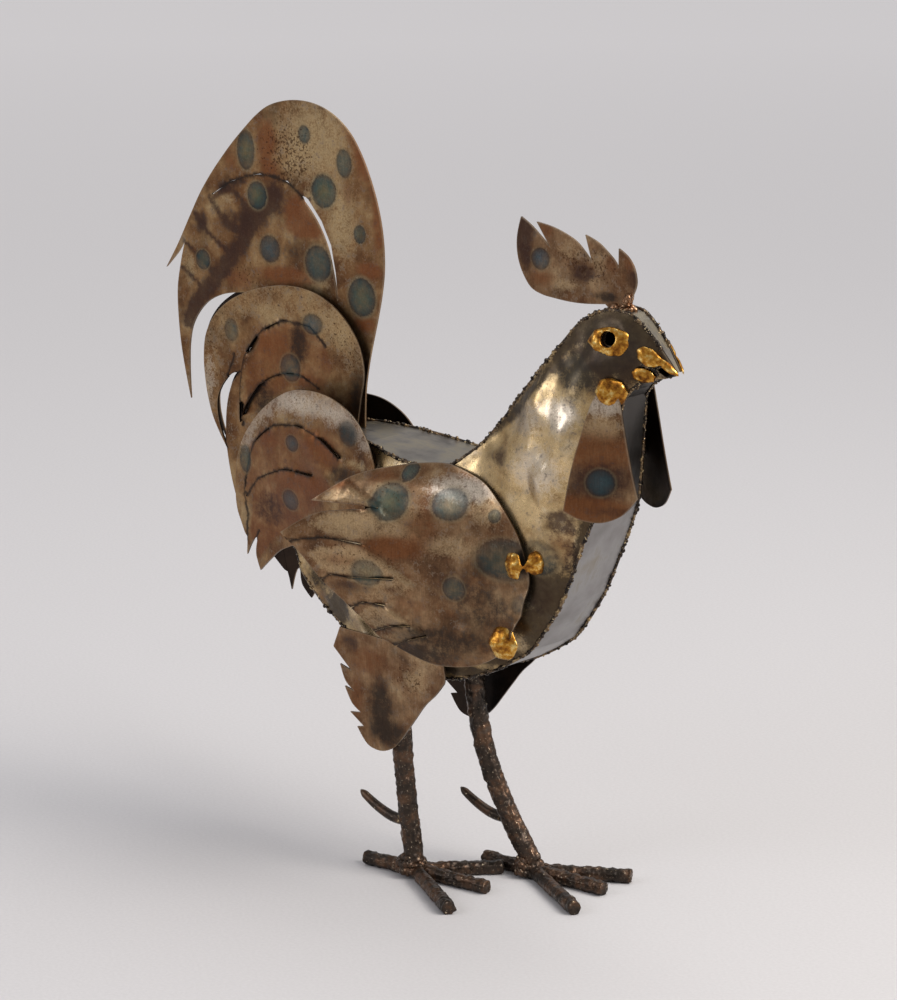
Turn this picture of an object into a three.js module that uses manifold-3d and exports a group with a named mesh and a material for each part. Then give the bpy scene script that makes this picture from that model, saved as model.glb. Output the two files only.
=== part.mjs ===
// A scrap metal rooster that stands on two welded feet.
// It looks along +X, its left side is on +Y and +Z is up. Millimetres.
import * as THREE from "three";
import { mergeVertices } from "three/addons/utils/BufferGeometryUtils.js";
import Module from "manifold-3d";

const wasm = await Module();
wasm.setup();

// Driving sizes of the body
const bodyLength = 346;
const bodyWidth = 74;
const bellyHeight = 155;
const flankBulge = 15;
const sheetThickness = 1.5;
const fitGap = 0.35;

// Driving sizes of the tail
const topTailHeight = 230;
const midTailLength = 163;
const sideTailLength = 160;
const midTailSpread = 8;
const crescentLift = 4;
const sideTailSpread = 27;
const sideTailToeOut = 0.14;
const leftMidTailSetBack = 13;
const leftSideTailTurn = 17;
const leftSideTailSetBack = 30;
const leftSideTailDrop = 15;
const cutWidth = 1;
const featherLift = 3;

// Driving sizes of the wings
const wingLength = 178;
const wingStandOff = 1.6;
const wingFlare = 0.22;
const wingFlareGain = 0.0006;

// Driving sizes of the head
const combLength = 105;
const wattleHeight = 90;
const wattleToeOut = 0.42;
const eyeHoleDiameter = 9.6;
const eyeRingLength = 31;
const eyeRingHeight = 22;
const eyeRingThickness = 3;
const earBeadDiameter = 16;
const beakBeadLength = 20;

// Driving sizes of the legs and feet
const legDiameter = 14;
const toeDiameter = 10;
const middleToeLength = 64;
const hindToeLength = 44;
const shortToeLength = 71.7;
const longToeLength = 84;
const rightInnerToeAngle = 40;
const rightOuterToeAngle = 37;
const leftInnerToeAngle = 32;
const leftOuterToeAngle = 28;
const feetClearance = 1.5;
const spurLength = 48;
const spurDiameter = 7;
const stanceWidth = bodyWidth * 0.757;
const stanceOffset = 3;
const strideLength = 64;
const thighHeight = 83;

const rearX = -bodyLength * 0.4624;
const rodSides = 8;
const curveSteps = 2;
const CORNER = 1;

// Finishes
function finish(colour, roughness, metalness) {
  return new THREE.MeshStandardMaterial({ color: colour, roughness, metalness });
}
const heatTintedSheet = finish(0x7a5a3a, 0.5, 0.85);
const greyStrip = finish(0x77736c, 0.45, 0.9);
const brazedBrass = finish(0xc98a26, 0.35, 0.9);
const crustedRod = finish(0x3a2a22, 0.7, 0.8);
const darkSheet = finish(0x4a3a30, 0.5, 0.85);

// Solids
function solidFrom(points, triangles) {
  const build = (list) =>
    new wasm.Manifold(
      new wasm.Mesh({
        numProp: 3,
        vertProperties: new Float32Array(points),
        triVerts: new Uint32Array(list),
      }),
    );
  const made = build(triangles);
  if (made.volume() > 0) return made;
  const turned = [];
  for (let i = 0; i < triangles.length; i += 3) {
    turned.push(triangles[i], triangles[i + 2], triangles[i + 1]);
  }
  return build(turned);
}

function solidOf(geometry) {
  const bare = new THREE.BufferGeometry();
  bare.setAttribute("position", geometry.getAttribute("position"));
  if (geometry.index) bare.setIndex(geometry.index);
  const merged = mergeVertices(bare, 1e-4);
  return solidFrom(merged.attributes.position.array, merged.index.array);
}

// A closed body through rings of points, with a flat cap at each end
function loft(rings) {
  const count = rings[0].length;
  const points = rings.flat(2);
  const triangles = [];
  for (let r = 0; r + 1 < rings.length; r += 1) {
    for (let i = 0; i < count; i += 1) {
      const a = r * count + i;
      const b = r * count + ((i + 1) % count);
      triangles.push(a, b, b + count, a, b + count, a + count);
    }
  }
  const last = (rings.length - 1) * count;
  for (let i = 0; i + 1 < count / 2; i += 1) {
    const j = count - 1 - i;
    const quad = [i, i + 1, j - 1, j];
    triangles.push(quad[0], quad[2], quad[1], quad[0], quad[3], quad[2]);
    const far = quad.map((q) => q + last);
    triangles.push(far[0], far[1], far[2], far[0], far[2], far[3]);
  }
  return solidFrom(points, triangles);
}

// Curves and outlines in the x and z of a sheet
function smooth(points, steps = curveSteps) {
  if (points.length < 3) return points.map((p) => [p[0], p[1]]);
  const curve = new THREE.CatmullRomCurve3(
    points.map((p) => new THREE.Vector3(p[0], p[1], 0)),
    false,
    "centripetal",
  );
  return curve.getPoints((points.length - 1) * steps).map((p) => [p.x, p.y]);
}

function smoothOutline(points, steps = curveSteps) {
  const first = points.findIndex((p) => p[2] === CORNER);
  const loop = [...points.slice(first), ...points.slice(0, first), points[first]];
  const made = [];
  let run = [loop[0]];
  for (const point of loop.slice(1)) {
    run.push(point);
    if (point[2] === CORNER) {
      made.push(...smooth(run, steps).slice(0, -1));
      run = [point];
    }
  }
  return made;
}

// Points given in hundredths of a size, from an origin
function placed(points, origin, size) {
  return points.map(([x, z, corner]) => [
    origin[0] + (x * size) / 100,
    origin[1] + (z * size) / 100,
    corner,
  ]);
}

function flatSheet(outline, thickness = sheetThickness) {
  const shape = new THREE.Shape(outline.map(([x, z]) => new THREE.Vector2(x, z)));
  return solidOf(
    new THREE.ExtrudeGeometry(shape, { depth: thickness, bevelEnabled: false, steps: 1 }),
  );
}

// A cut along a line: widths run from the first point to the last
function cutAlong(line, widths) {
  const widthAt = (i) => {
    const share = (i / (line.length - 1)) * (widths.length - 1);
    const k = Math.min(Math.floor(share), widths.length - 2);
    return widths[k] + (widths[k + 1] - widths[k]) * (share - k);
  };
  const pieces = line.slice(1).map((end, i) => {
    const start = line[i];
    const length = Math.hypot(end[0] - start[0], end[1] - start[1]);
    const along = [(end[0] - start[0]) / length, (end[1] - start[1]) / length];
    const corner = (point, forward, aside) => [
      point[0] + along[0] * forward - along[1] * aside,
      point[1] + along[1] * forward + along[0] * aside,
    ];
    const first = widthAt(i) / 2;
    const last = widthAt(i + 1) / 2;
    const shape = [
      corner(start, -first * 0.4, -first),
      corner(end, last * 0.4, -last),
      corner(end, last * 0.4, last),
      corner(start, -first * 0.4, first),
    ];
    return flatSheet(shape, sheetThickness + 4).translate([0, 0, -2]);
  });
  return joined(pieces);
}

// How far along a cut a point is, 0 at its closed end, and on which side
function besideCut(line, x, z) {
  let best = { distance: Infinity, along: 0, side: 0 };
  const count = line.length - 1;
  for (let i = 0; i < count; i += 1) {
    const [ax, az] = line[i];
    const [bx, bz] = line[i + 1];
    const dx = bx - ax;
    const dz = bz - az;
    const t = ((x - ax) * dx + (z - az) * dz) / (dx * dx + dz * dz);
    const held = Math.min(Math.max(t, 0), 1);
    const distance = Math.hypot(x - ax - dx * held, z - az - dz * held);
    if (distance < best.distance - 1e-9) {
      const side = dx * (z - az) - dz * (x - ax);
      best = { distance, along: 1 - (i + held) / count, side };
    }
  }
  return best;
}

function inside(loop, x, z) {
  let odd = false;
  loop.forEach(([ax, az], i) => {
    const [bx, bz] = loop[(i + 1) % loop.length];
    if (az > z !== bz > z && x < ax + ((z - az) / (bz - az)) * (bx - ax)) odd = !odd;
  });
  return odd;
}

// A sheet cut, divided into smaller facets, bent and put in its place
function bentSheet({ outline, cuts = [], facet, base, trim = [], thickness = sheetThickness }) {
  let flat = flatSheet(outline, thickness);
  for (const cut of cuts) flat = flat.subtract(cutAlong(cut.line, cut.widths));
  if (facet) flat = flat.refineToLength(facet);
  const lift = (x, z) =>
    cuts.reduce((sum, cut) => {
      if (!cut.lift) return sum;
      if (cut.tongue) {
        if (!inside(cut.line, x, z)) return sum;
        const root = cut.line[0];
        const share = Math.min(Math.hypot(x - root[0], z - root[1]) / cut.tongue, 1);
        return sum + cut.lift * share * share;
      }
      const place = besideCut(cut.line, x, z);
      const raised = place.side * (cut.raises === "left" ? 1 : -1) > 0;
      return raised ? sum + cut.lift * place.along * place.along : sum;
    }, 0);
  let made = flat.warp((v) => {
    const [x, z, depth] = v;
    v[1] = -(base(x, z) + lift(x, z) + depth);
    v[2] = z;
  });
  for (const solid of trim) made = made.subtract(solid);
  return largest(made);
}

function largest(solid) {
  const bodies = solid.decompose();
  bodies.sort((a, b) => b.volume() - a.volume());
  return bodies[0];
}

// A rod along a path, one flat of it facing down
function rod(path, radii, sides = rodSides) {
  const steep = Math.abs(path[path.length - 1][2] - path[0][2]) > 30;
  const reference = steep ? new THREE.Vector3(1, 0, 0) : new THREE.Vector3(0, 0, 1);
  const rings = path.map((point, i) => {
    const before = new THREE.Vector3(...path[Math.max(i - 1, 0)]);
    const after = new THREE.Vector3(...path[Math.min(i + 1, path.length - 1)]);
    const along = after.sub(before).normalize();
    const across = new THREE.Vector3().crossVectors(reference, along).normalize();
    const upward = new THREE.Vector3().crossVectors(along, across);
    const radius = radii[i] / Math.cos(Math.PI / sides);
    return Array.from({ length: sides }, (_, k) => {
      const angle = ((k + 0.5) * 2 * Math.PI) / sides;
      return new THREE.Vector3(...point)
        .addScaledVector(across, Math.sin(angle) * radius)
        .addScaledVector(upward, -Math.cos(angle) * radius)
        .toArray();
    });
  });
  return loft(rings);
}

function path3(points, steps) {
  const curve = new THREE.CatmullRomCurve3(
    points.map((p) => new THREE.Vector3(...p)),
    false,
    "centripetal",
  );
  return curve.getPoints((points.length - 1) * steps).map((p) => p.toArray());
}

// The body: stations from the rear edge to the beak, in hundredths of the body length
// back x, back z, half width at the back, lower x, lower z, half width below, bulge
const stations = [
  [0.6, 40.8, 23, -0.3, 20.5, 20, 0],
  [5.2, 44.8, 28, 2.9, 14.2, 23, 20],
  [13.9, 46.5, 32, 9.8, 8.7, 27, 40],
  [24.9, 46.2, 38, 17.9, 4.6, 32, 60],
  [34.7, 44.8, 48, 29.5, 1.4, 38, 73],
  [43.3, 44.2, 49, 39.3, 0.0, 38, 83],
  [49.1, 45.4, 46, 48.6, 0.6, 38, 90],
  [56.1, 51.2, 34, 59.0, 4.3, 36, 97],
  [60.7, 56.9, 28, 68.2, 10.1, 34, 100],
  [65.3, 62.7, 27, 76.0, 21.1, 33, 100],
  [69.9, 68.2, 26, 81.5, 34.1, 34, 97],
  [74.0, 73.4, 20, 84.7, 41.9, 30, 87],
  [76.9, 76.9, 17, 87.0, 52.9, 22, 67],
  [80.3, 79.2, 15, 88.7, 63.9, 17, 47],
  [84.7, 80.6, 13, 91.3, 66.8, 15, 33],
  [89.0, 80.2, 11, 93.6, 67.9, 12, 27],
  [92.5, 77.6, 9, 95.7, 68.5, 10, 20],
  [95.7, 74.4, 7, 97.3, 68.7, 8, 10],
  [99.1, 70.1, 4, 99.1, 69.4, 4, 0],
];
const stationSteps = 2;
const acrossSteps = 6;

function bodyX(share) {
  return rearX + (share * bodyLength) / 100;
}
function bodyZ(share) {
  return bellyHeight + (share * bodyLength) / 100;
}

const fineStations = (() => {
  const columns = [0, 1, 2, 3, 4, 5, 6];
  const tracks = columns.map((c) => {
    const curve = new THREE.CatmullRomCurve3(
      stations.map((s, i) => new THREE.Vector3(i, s[c], 0)),
    );
    return curve.getPoints((stations.length - 1) * stationSteps).map((p) => p.y);
  });
  return tracks[0].map((_, i) => ({
    back: [bodyX(tracks[0][i]), bodyZ(tracks[1][i])],
    backHalf: (tracks[2][i] * bodyWidth) / 100,
    below: [bodyX(tracks[3][i]), bodyZ(tracks[4][i])],
    belowHalf: (tracks[5][i] * bodyWidth) / 100,
    bulge: (Math.max(tracks[6][i], 0) * flankBulge) / 100,
  }));
})();

function flankPoint(station, share) {
  const { back, below, backHalf, belowHalf, bulge } = station;
  const x = back[0] + (below[0] - back[0]) * share;
  const z = back[1] + (below[1] - back[1]) * share;
  const half = backHalf + (belowHalf - backHalf) * share;
  return [x, -(half + bulge * Math.sin(Math.PI * share) ** 0.8), z];
}

function flankSolid(outward, inward) {
  const rings = fineStations.map((station) => {
    const row = Array.from({ length: acrossSteps + 1 }, (_, k) =>
      flankPoint(station, k / acrossSteps),
    );
    const outer = row.map(([x, y, z]) => [x, y - outward, z]);
    const inner = row.map(([x, y, z]) => [x, y + inward, z]).reverse();
    return [...outer, ...inner];
  });
  return loft(rings);
}

// How far the right flank stands out at a place on it
function flankAt(x, z) {
  let total = 0;
  let weight = 0;
  for (const station of fineStations) {
    for (let k = 0; k <= acrossSteps; k += 1) {
      const [px, py, pz] = flankPoint(station, k / acrossSteps);
      const w = 1 / ((px - x) ** 2 + (pz - z) ** 2 + 9) ** 2;
      total -= py * w;
      weight += w;
    }
  }
  return total / weight;
}

// The strips that join the two flanks
function stripSolid(line, halves) {
  const rings = line.map((point, i) => {
    const before = line[Math.max(i - 1, 0)];
    const after = line[Math.min(i + 1, line.length - 1)];
    const dx = after[0] - before[0];
    const dz = after[1] - before[1];
    const length = Math.hypot(dx, dz);
    const inX = point[0] + (dz / length) * sheetThickness;
    const inZ = point[1] - (dx / length) * sheetThickness;
    const half = halves[i] - sheetThickness - fitGap;
    return [
      [point[0], -half, point[1]],
      [point[0], half, point[1]],
      [inX, half, inZ],
      [inX, -half, inZ],
    ];
  });
  return loft(rings);
}

const backLine = fineStations.map((s) => s.back);
const belowLine = fineStations.map((s) => s.below);
const backHalves = fineStations.map((s) => s.backHalf);
const belowHalves = fineStations.map((s) => s.belowHalf);

// The open mouth is one wedge through both flanks and both strips
const mouthWedge = [
  [92.5, 71.1],
  [96.2, 70.9],
  [98.0, 70.3],
  [100.6, 69.5],
  [101.7, 67.3],
  [98.1, 68.4],
  [96.2, 69.8],
  [94.5, 70.5],
].map(([x, z]) => [bodyX(x), bodyZ(z)]);
const mouthCut = flatSheet(mouthWedge, bodyWidth)
  .warp((v) => {
    const [x, z, depth] = v;
    v[1] = bodyWidth / 2 - depth;
    v[2] = z;
  });

const eyeCentre = [bodyX(85.8), bodyZ(75.4)];
const eyeRingCentre = [eyeCentre[0], eyeCentre[1] - eyeRingHeight * 0.13];

function throughCylinder([x, z], diameter) {
  const turned = new THREE.CylinderGeometry(diameter / 2, diameter / 2, bodyWidth, 12);
  turned.translate(x, -bodyWidth / 2, z);
  return solidOf(turned);
}

// A bead of brass melted on to the flank, its underside shaped by what it sits on
function bead({ centre, length, height, thickness, tilt = 0, stand = 0 }) {
  const [x, z] = centre;
  const ball = new THREE.SphereGeometry(1, 8, 4);
  ball.rotateX(Math.PI / 2);
  ball.scale(length / 2, thickness, height / 2);
  ball.rotateY(-tilt);
  const slope = (flankAt(x + 4, z) - flankAt(x - 4, z)) / 8;
  ball.rotateZ(Math.atan(-slope));
  ball.translate(x, -(flankAt(x, z) + stand), z);
  return solidOf(ball);
}

function joined(solids) {
  return solids.reduce((sum, solid) => sum.add(solid));
}

const parts = new THREE.Group();
parts.name = "scrap_metal_rooster";

function addPart(name, solid, material) {
  const mesh = solid.getMesh();
  const geometry = new THREE.BufferGeometry();
  const values = new Float32Array(mesh.numVert * 3);
  for (let i = 0; i < mesh.numVert; i += 1) {
    for (let k = 0; k < 3; k += 1) values[i * 3 + k] = mesh.vertProperties[i * mesh.numProp + k];
  }
  geometry.setAttribute("position", new THREE.BufferAttribute(values, 3));
  geometry.setIndex(new THREE.BufferAttribute(new Uint32Array(mesh.triVerts), 1));
  geometry.computeVertexNormals();
  const made = new THREE.Mesh(geometry, material.clone());
  made.name = name;
  parts.add(made);
}

function addPair(name, solid, material) {
  addPart(`${name}_right`, solid, material);
  addPart(`${name}_left`, solid.mirror([0, 1, 0]), material);
}

// Flanks, back strip and breast strip
const eyeHole = throughCylinder(eyeCentre, eyeHoleDiameter);
const flank = largest(flankSolid(0, sheetThickness).subtract(eyeHole).subtract(mouthCut));
addPair("flank", flank, heatTintedSheet);

const backStrip = stripSolid(backLine, backHalves);
addPart("back_strip", backStrip, greyStrip);

const rearGap = fitGap + sheetThickness;
const rearTop = [backLine[0][0], backLine[0][1] - rearGap];
const breastLine = [...belowLine].reverse();
const breastHalves = [...belowHalves].reverse();
breastLine.push(rearTop);
breastHalves.push(backHalves[0]);
const breastStrip = largest(stripSolid(breastLine, breastHalves).subtract(mouthCut));
addPart("breast_strip", breastStrip, greyStrip);

// A block the shape of the body, used to trim what is seated on it
const bodyProfile = [...backLine, ...[...belowLine].reverse()];
function grown(points, by) {
  return points.map((point, i) => {
    const before = points[(i + points.length - 1) % points.length];
    const after = points[(i + 1) % points.length];
    const dx = after[0] - before[0];
    const dz = after[1] - before[1];
    const length = Math.hypot(dx, dz);
    return [point[0] - (dz / length) * by, point[1] + (dx / length) * by];
  });
}
const bodyBlock = flatSheet(grown(bodyProfile, fitGap), bodyWidth).warp((v) => {
  const [x, z, depth] = v;
  v[1] = bodyWidth / 2 - depth;
  v[2] = z;
});
const flankBlock = flankSolid(fitGap, flankBulge * 2);

// Tail: one tall sheet in the middle, a lower one each side of it, and one on each flank
const tailRoot = [bodyX(11.6), bodyZ(46.5)];

const topTailPoints = [
  [-20.9, 100.0],
  [-8.3, 98.3],
  [2.2, 91.7],
  [10.4, 78.7],
  [15.2, 63.9],
  [16.1, 50.0],
  [13.9, 37.4],
  [10.4, 23.9],
  [8.3, 12.6],
  [7.8, -1.7, CORNER],
  [-13.0, -7.0, CORNER],
  [-13.9, 8.3],
  [-17.4, 20.0],
  [-24.3, 29.6],
  [-33.9, 35.7],
  [-49.6, 35.7],
  [-61.3, 31.3],
  [-68.7, 22.2],
  [-70.4, 10.9],
  [-70.0, -1.7, CORNER],
  [-73.9, 14.8],
  [-75.2, 34.8],
  [-71.3, 50.9, CORNER],
  [-74.3, 46.5],
  [-80.4, 40.4, CORNER],
  [-74.8, 48.7],
  [-63.5, 67.4],
  [-54.3, 78.7],
  [-43.9, 89.1],
  [-33.5, 97.0],
];
const topTailCut = [
  [-58.7, 66.5],
  [-49.6, 71.7],
  [-37.0, 75.2],
  [-25.2, 73.9],
  [-16.5, 68.7],
  [-10.9, 62.6],
  [-7.0, 55.7],
  [-4.8, 47.4],
  [-3.5, 39.1],
];
addPart(
  "tail_top",
  bentSheet({
    outline: smoothOutline(placed(topTailPoints, tailRoot, topTailHeight)),
    cuts: [
      {
        line: placed(topTailCut, tailRoot, topTailHeight),
        widths: [0.8, 1.4, 4.6, 4.2, 0.8],
      },
    ],
    base: () => -sheetThickness / 2,
    trim: [bodyBlock],
  }),
  heatTintedSheet,
);

const midTailPoints = [
  [-33.1, 58.9],
  [-12.3, 57.1],
  [3.1, 48.5],
  [11.7, 37.4],
  [14.7, 25.2],
  [12.9, 14.7],
  [9.8, -2.5, CORNER],
  [-18.4, -9.8, CORNER],
  [-28.2, -8.0],
  [-36.8, -17.2],
  [-44.2, -33.1],
  [-50.9, -47.9],
  [-57.7, -59.5, CORNER],
  [-66.3, -40.5],
  [-71.2, -19.6],
  [-70.6, -0.6],
  [-66.3, 11.0],
  [-59.5, 17.2, CORNER],
  [-69.3, 12.9],
  [-76.7, 1.2],
  [-75.5, -10.4],
  [-70.6, -21.5, CORNER],
  [-79.8, -7.4],
  [-84.7, 11.0],
  [-84.0, 29.4],
  [-76.1, 41.7],
  [-59.5, 52.1],
];
const midTailCut = [
  [-7.4, 34.4],
  [-17.8, 42.3],
  [-34.4, 42.9],
  [-47.9, 36.2],
  [-57.7, 23.3],
  [-60.1, 8.6],
  [-60.7, -8.6],
  [-56.4, 1.2],
  [-48.5, 11.7],
  [-36.2, 18.4],
  [-24.5, 19.6],
  [-11.7, 14.7],
];
const midTailSplit = [
  [-65.0, 24.5],
  [-66.9, 19.6],
  [-69.9, 12.9],
];
function midTail(setBack) {
  const root = [tailRoot[0] - setBack, tailRoot[1]];
  return bentSheet({
    outline: smoothOutline(placed(midTailPoints, root, midTailLength)),
    cuts: [
      {
        line: placed(midTailCut, root, midTailLength),
        widths: [0.6, cutWidth, cutWidth, cutWidth, 0.6],
        lift: crescentLift,
        tongue: midTailLength * 0.55,
      },
      { line: placed(midTailSplit, root, midTailLength), widths: [0.4, 1.6] },
    ],
    facet: 70,
    base: () => midTailSpread - sheetThickness,
    trim: [bodyBlock],
  });
}
addPart("tail_mid_right", midTail(0), heatTintedSheet);
addPart("tail_mid_left", midTail(leftMidTailSetBack).mirror([0, 1, 0]), heatTintedSheet);

const sideTailPoints = [
  [-9.4, 17.5],
  [8.8, 17.5],
  [26.2, 11.2],
  [36.2, 1.2],
  [41.2, -10.6, CORNER],
  [37.5, -28.8, CORNER],
  [6.2, -47.5],
  [-18.1, -56.2, CORNER],
  [-27.5, -60.6],
  [-41.9, -72.5, CORNER],
  [-45.0, -65.6],
  [-44.4, -60.0],
  [-41.9, -53.1, CORNER],
  [-48.1, -60.6],
  [-51.9, -66.9, CORNER],
  [-51.4, -58.8, CORNER],
  [-52.2, -58.1, CORNER],
  [-58.8, -46.9],
  [-60.0, -37.5],
  [-58.1, -21.2],
  [-51.9, -9.4],
  [-37.5, 5.0],
  [-20.0, 15.0],
];
const sideTailOuterCut = [
  [17.5, -8.8],
  [5.6, -3.1],
  [-12.5, 0.6],
  [-31.2, -2.5],
  [-45.6, -13.1],
  [-50.0, -23.8],
  [-53.1, -38.1],
  [-50.9, -47.5],
  [-51.8, -60.0],
];
const sideTailInnerCut = [
  [-0.6, -20.0],
  [-22.5, -21.2],
  [-42.5, -29.4],
  [-51.9, -39.4],
];
function sideTail(turn, shift) {
  const cos = Math.cos(turn);
  const sin = Math.sin(turn);
  const turned = (list) =>
    placed(list, [0, 0], sideTailLength).map(([x, z, corner]) => [
      tailRoot[0] + cos * x - sin * z + shift[0],
      tailRoot[1] + sin * x + cos * z + shift[1],
      corner,
    ]);
  const widths = [0.6, cutWidth, cutWidth, cutWidth];
  return bentSheet({
    outline: smoothOutline(turned(sideTailPoints)),
    cuts: [sideTailOuterCut, sideTailInnerCut].map((line) => ({
      line: turned(line),
      widths,
      lift: featherLift,
      raises: "left",
    })),
    facet: 55,
    base: (x) => sideTailSpread + sideTailToeOut * (x - tailRoot[0] + 30),
  });
}
addPart("tail_side_right", sideTail(0, [0, 0]), heatTintedSheet);
const leftSideTail = sideTail((leftSideTailTurn * Math.PI) / 180, [
  -leftSideTailSetBack,
  -leftSideTailDrop,
]);
addPart("tail_side_left", leftSideTail.mirror([0, 1, 0]), darkSheet);

// Wings: held at the front edge, standing out from the body to the rear
const wingFront = [bodyX(71.1), bodyZ(24.6)];
const wingPoints = [
  [-89.9, 24.2, CORNER],
  [-77.0, 34.3],
  [-64.0, 38.8],
  [-42.1, 41.6],
  [-24.2, 37.1],
  [-9.0, 25.3],
  [-2.2, 12.9],
  [0.0, 0.0],
  [-2.8, -11.8],
  [-7.9, -24.7],
  [-22.5, -34.8],
  [-42.7, -37.4],
  [-57.9, -33.1, CORNER],
  [-68.0, -28.1, CORNER],
  [-74.7, -19.1, CORNER],
  [-85.4, -8.4, CORNER],
  [-97.2, 6.7, CORNER],
  [-100.6, 10.7, CORNER],
  [-88.2, 19.1],
  [-62.9, 23.3, CORNER],
  [-62.9, 23.9, CORNER],
];
const wingOutline = smoothOutline(placed(wingPoints, wingFront, wingLength));
const wingDepth = wingLength * 0.42;
function wingEdge(z) {
  const up = Math.min(Math.abs(z - wingFront[1]) / wingDepth, 1);
  return wingFront[0] - wingDepth * (1 - Math.sqrt(1 - up * up));
}
function wingBase(x, z) {
  const back = wingEdge(z) - x;
  const open = flankAt(wingEdge(z), z) + wingStandOff;
  const flared = open + wingFlare * back + wingFlareGain * back * back;
  return Math.max(flared, flankAt(x, z) + wingStandOff);
}
const wingCuts = [
  [[-43.3, -25.8], [-51.7, -28.7], [-59.0, -32.6]],
  [[-49.4, -22.5], [-59.6, -24.2], [-69.1, -28.1]],
  [[-60.1, -15.2], [-69.7, -15.2], [-75.8, -18.5]],
  [[-55.6, -3.9], [-73.6, -5.1], [-82.0, -5.1], [-87.6, -8.4]],
  [[-68.5, 9.0], [-83.1, 10.1], [-100.0, 7.3]],
].map((line) => ({
  line: placed(line, wingFront, wingLength),
  widths: [0.4, 1.4],
  lift: featherLift,
  raises: "left",
}));
const wing = bentSheet({ outline: wingOutline, cuts: wingCuts, facet: 32, base: wingBase });
addPair("wing", wing, heatTintedSheet);

// Comb
const combFoot = [bodyX(84.1), bodyZ(80.6)];
const combPoints = [
  [-3.8, -3.8, CORNER],
  [5.2, -3.8, CORNER],
  [4.8, 1.0],
  [7.6, 3.8],
  [11.4, 8.6],
  [14.8, 17.1],
  [12.4, 27.6],
  [6.7, 34.3],
  [0.0, 38.1, CORNER],
  [0.0, 25.7, CORNER],
  [-2.9, 29.5],
  [-17.1, 40.0],
  [-27.6, 43.8, CORNER],
  [-21.9, 26.7, CORNER],
  [-34.3, 38.1],
  [-55.2, 45.7],
  [-68.6, 47.6, CORNER],
  [-57.1, 32.4, CORNER],
  [-73.3, 44.8],
  [-81.9, 49.5, CORNER],
  [-85.2, 36.2],
  [-83.8, 21.0],
  [-72.4, 3.8],
  [-52.4, -0.5],
  [-29.5, -1.0],
  [-10.5, 1.0, CORNER],
];
const comb = bentSheet({
  outline: smoothOutline(placed(combPoints, combFoot, combLength)),
  base: () => -sheetThickness / 2,
  trim: [bodyBlock],
});
addPart("comb", comb, heatTintedSheet);

// Brass beads
const eyeRingBall = bead({
  centre: eyeRingCentre,
  length: eyeRingLength,
  height: eyeRingHeight,
  thickness: eyeRingThickness,
});
addPair("eye_ring", largest(eyeRingBall.subtract(flankBlock).subtract(eyeHole)), brazedBrass);

const upperBeak = joined([
  bead({
    centre: [bodyX(94.2), bodyZ(72.5)],
    length: beakBeadLength,
    height: beakBeadLength * 0.6,
    thickness: beakBeadLength * 0.15,
    tilt: -0.5,
  }),
  bead({
    centre: [bodyX(97.4), bodyZ(71.2)],
    length: beakBeadLength,
    height: beakBeadLength * 0.3,
    thickness: beakBeadLength * 0.11,
    tilt: -0.55,
  }),
]);
addPair("beak_upper_brass", largest(upperBeak.subtract(flankBlock).subtract(mouthCut)), brazedBrass);
const lowerBeak = bead({
  centre: [bodyX(93.1), bodyZ(69.2)],
  length: beakBeadLength * 0.9,
  height: beakBeadLength * 0.5,
  thickness: beakBeadLength * 0.13,
  tilt: -0.1,
});
addPair("beak_lower_brass", largest(lowerBeak.subtract(flankBlock).subtract(mouthCut)), brazedBrass);

// Wattles hang from a brass bead at the ear
const ear = [bodyX(86.4), bodyZ(65.3)];
const wattlePoints = [
  [-3.3, 2.2, CORNER],
  [-8.9, -7.8],
  [-15.6, -34.4],
  [-21.1, -62.2],
  [-24.4, -91.1, CORNER],
  [-12.2, -96.7],
  [3.3, -97.8],
  [17.8, -91.1],
  [27.8, -77.8, CORNER],
  [23.3, -62.2],
  [17.8, -40.0],
  [11.1, -10.0],
  [7.8, 2.2, CORNER],
];
const wattleTop = flankAt(ear[0], ear[1]) + 1.2;
const wattle = bentSheet({
  outline: smoothOutline(placed(wattlePoints, ear, wattleHeight)),
  facet: 60,
  base: (x, z) => wattleTop + (ear[1] - z) * 0.09 + wattleToeOut * (ear[0] + 6 - x),
});
const earBead = bead({
  centre: ear,
  length: earBeadDiameter,
  height: earBeadDiameter,
  thickness: earBeadDiameter / 4,
});
const wattleBlock = joined([-fitGap, 0, fitGap].map((by) => wattle.translate([0, by, 0])));
addPair("ear_brass", largest(earBead.subtract(flankBlock).subtract(wattleBlock)), brazedBrass);
addPair("wattle", wattle, heatTintedSheet);

// Brass tacks that hold the front edge of each wing, their places in hundredths of its length
function wingTack([wingLobe, flankLobe]) {
  const spot = ([x, z]) => placed([[x, z]], wingFront, wingLength)[0];
  const lobe = (place, stand) => {
    const size = place[2];
    return bead({ centre: spot(place), length: size, height: size, thickness: size * 0.36, stand });
  };
  const [x, z] = spot(wingLobe);
  const stand = wingBase(x, z) + sheetThickness - flankAt(x, z);
  const blob = lobe(wingLobe, stand).add(lobe(flankLobe, stand / 2));
  const reach = blob.boundingBox();
  const covered = smooth([...wingOutline, wingOutline[0]], 2).filter(
    ([, height]) => height > reach.min[2] - 4 && height < reach.max[2] + 4,
  );
  const edge = Math.max(...covered.map(([along]) => along)) + fitGap;
  const heights = [reach.min[2], z, reach.max[2]].map((height) => wingBase(reach.min[0], height));
  const top = Math.max(...heights) + sheetThickness + fitGap;
  const room = new THREE.BoxGeometry(bodyLength, top, bodyLength);
  room.translate(edge - bodyLength / 2, -top / 2, reach.min[2]);
  return largest(blob.subtract(flankBlock).subtract(solidOf(room)));
}
addPair("wing_tack_upper", wingTack([
  [-3.4, 9.0, 16],
  [1.7, 9.6, 12],
]), brazedBrass);
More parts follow.
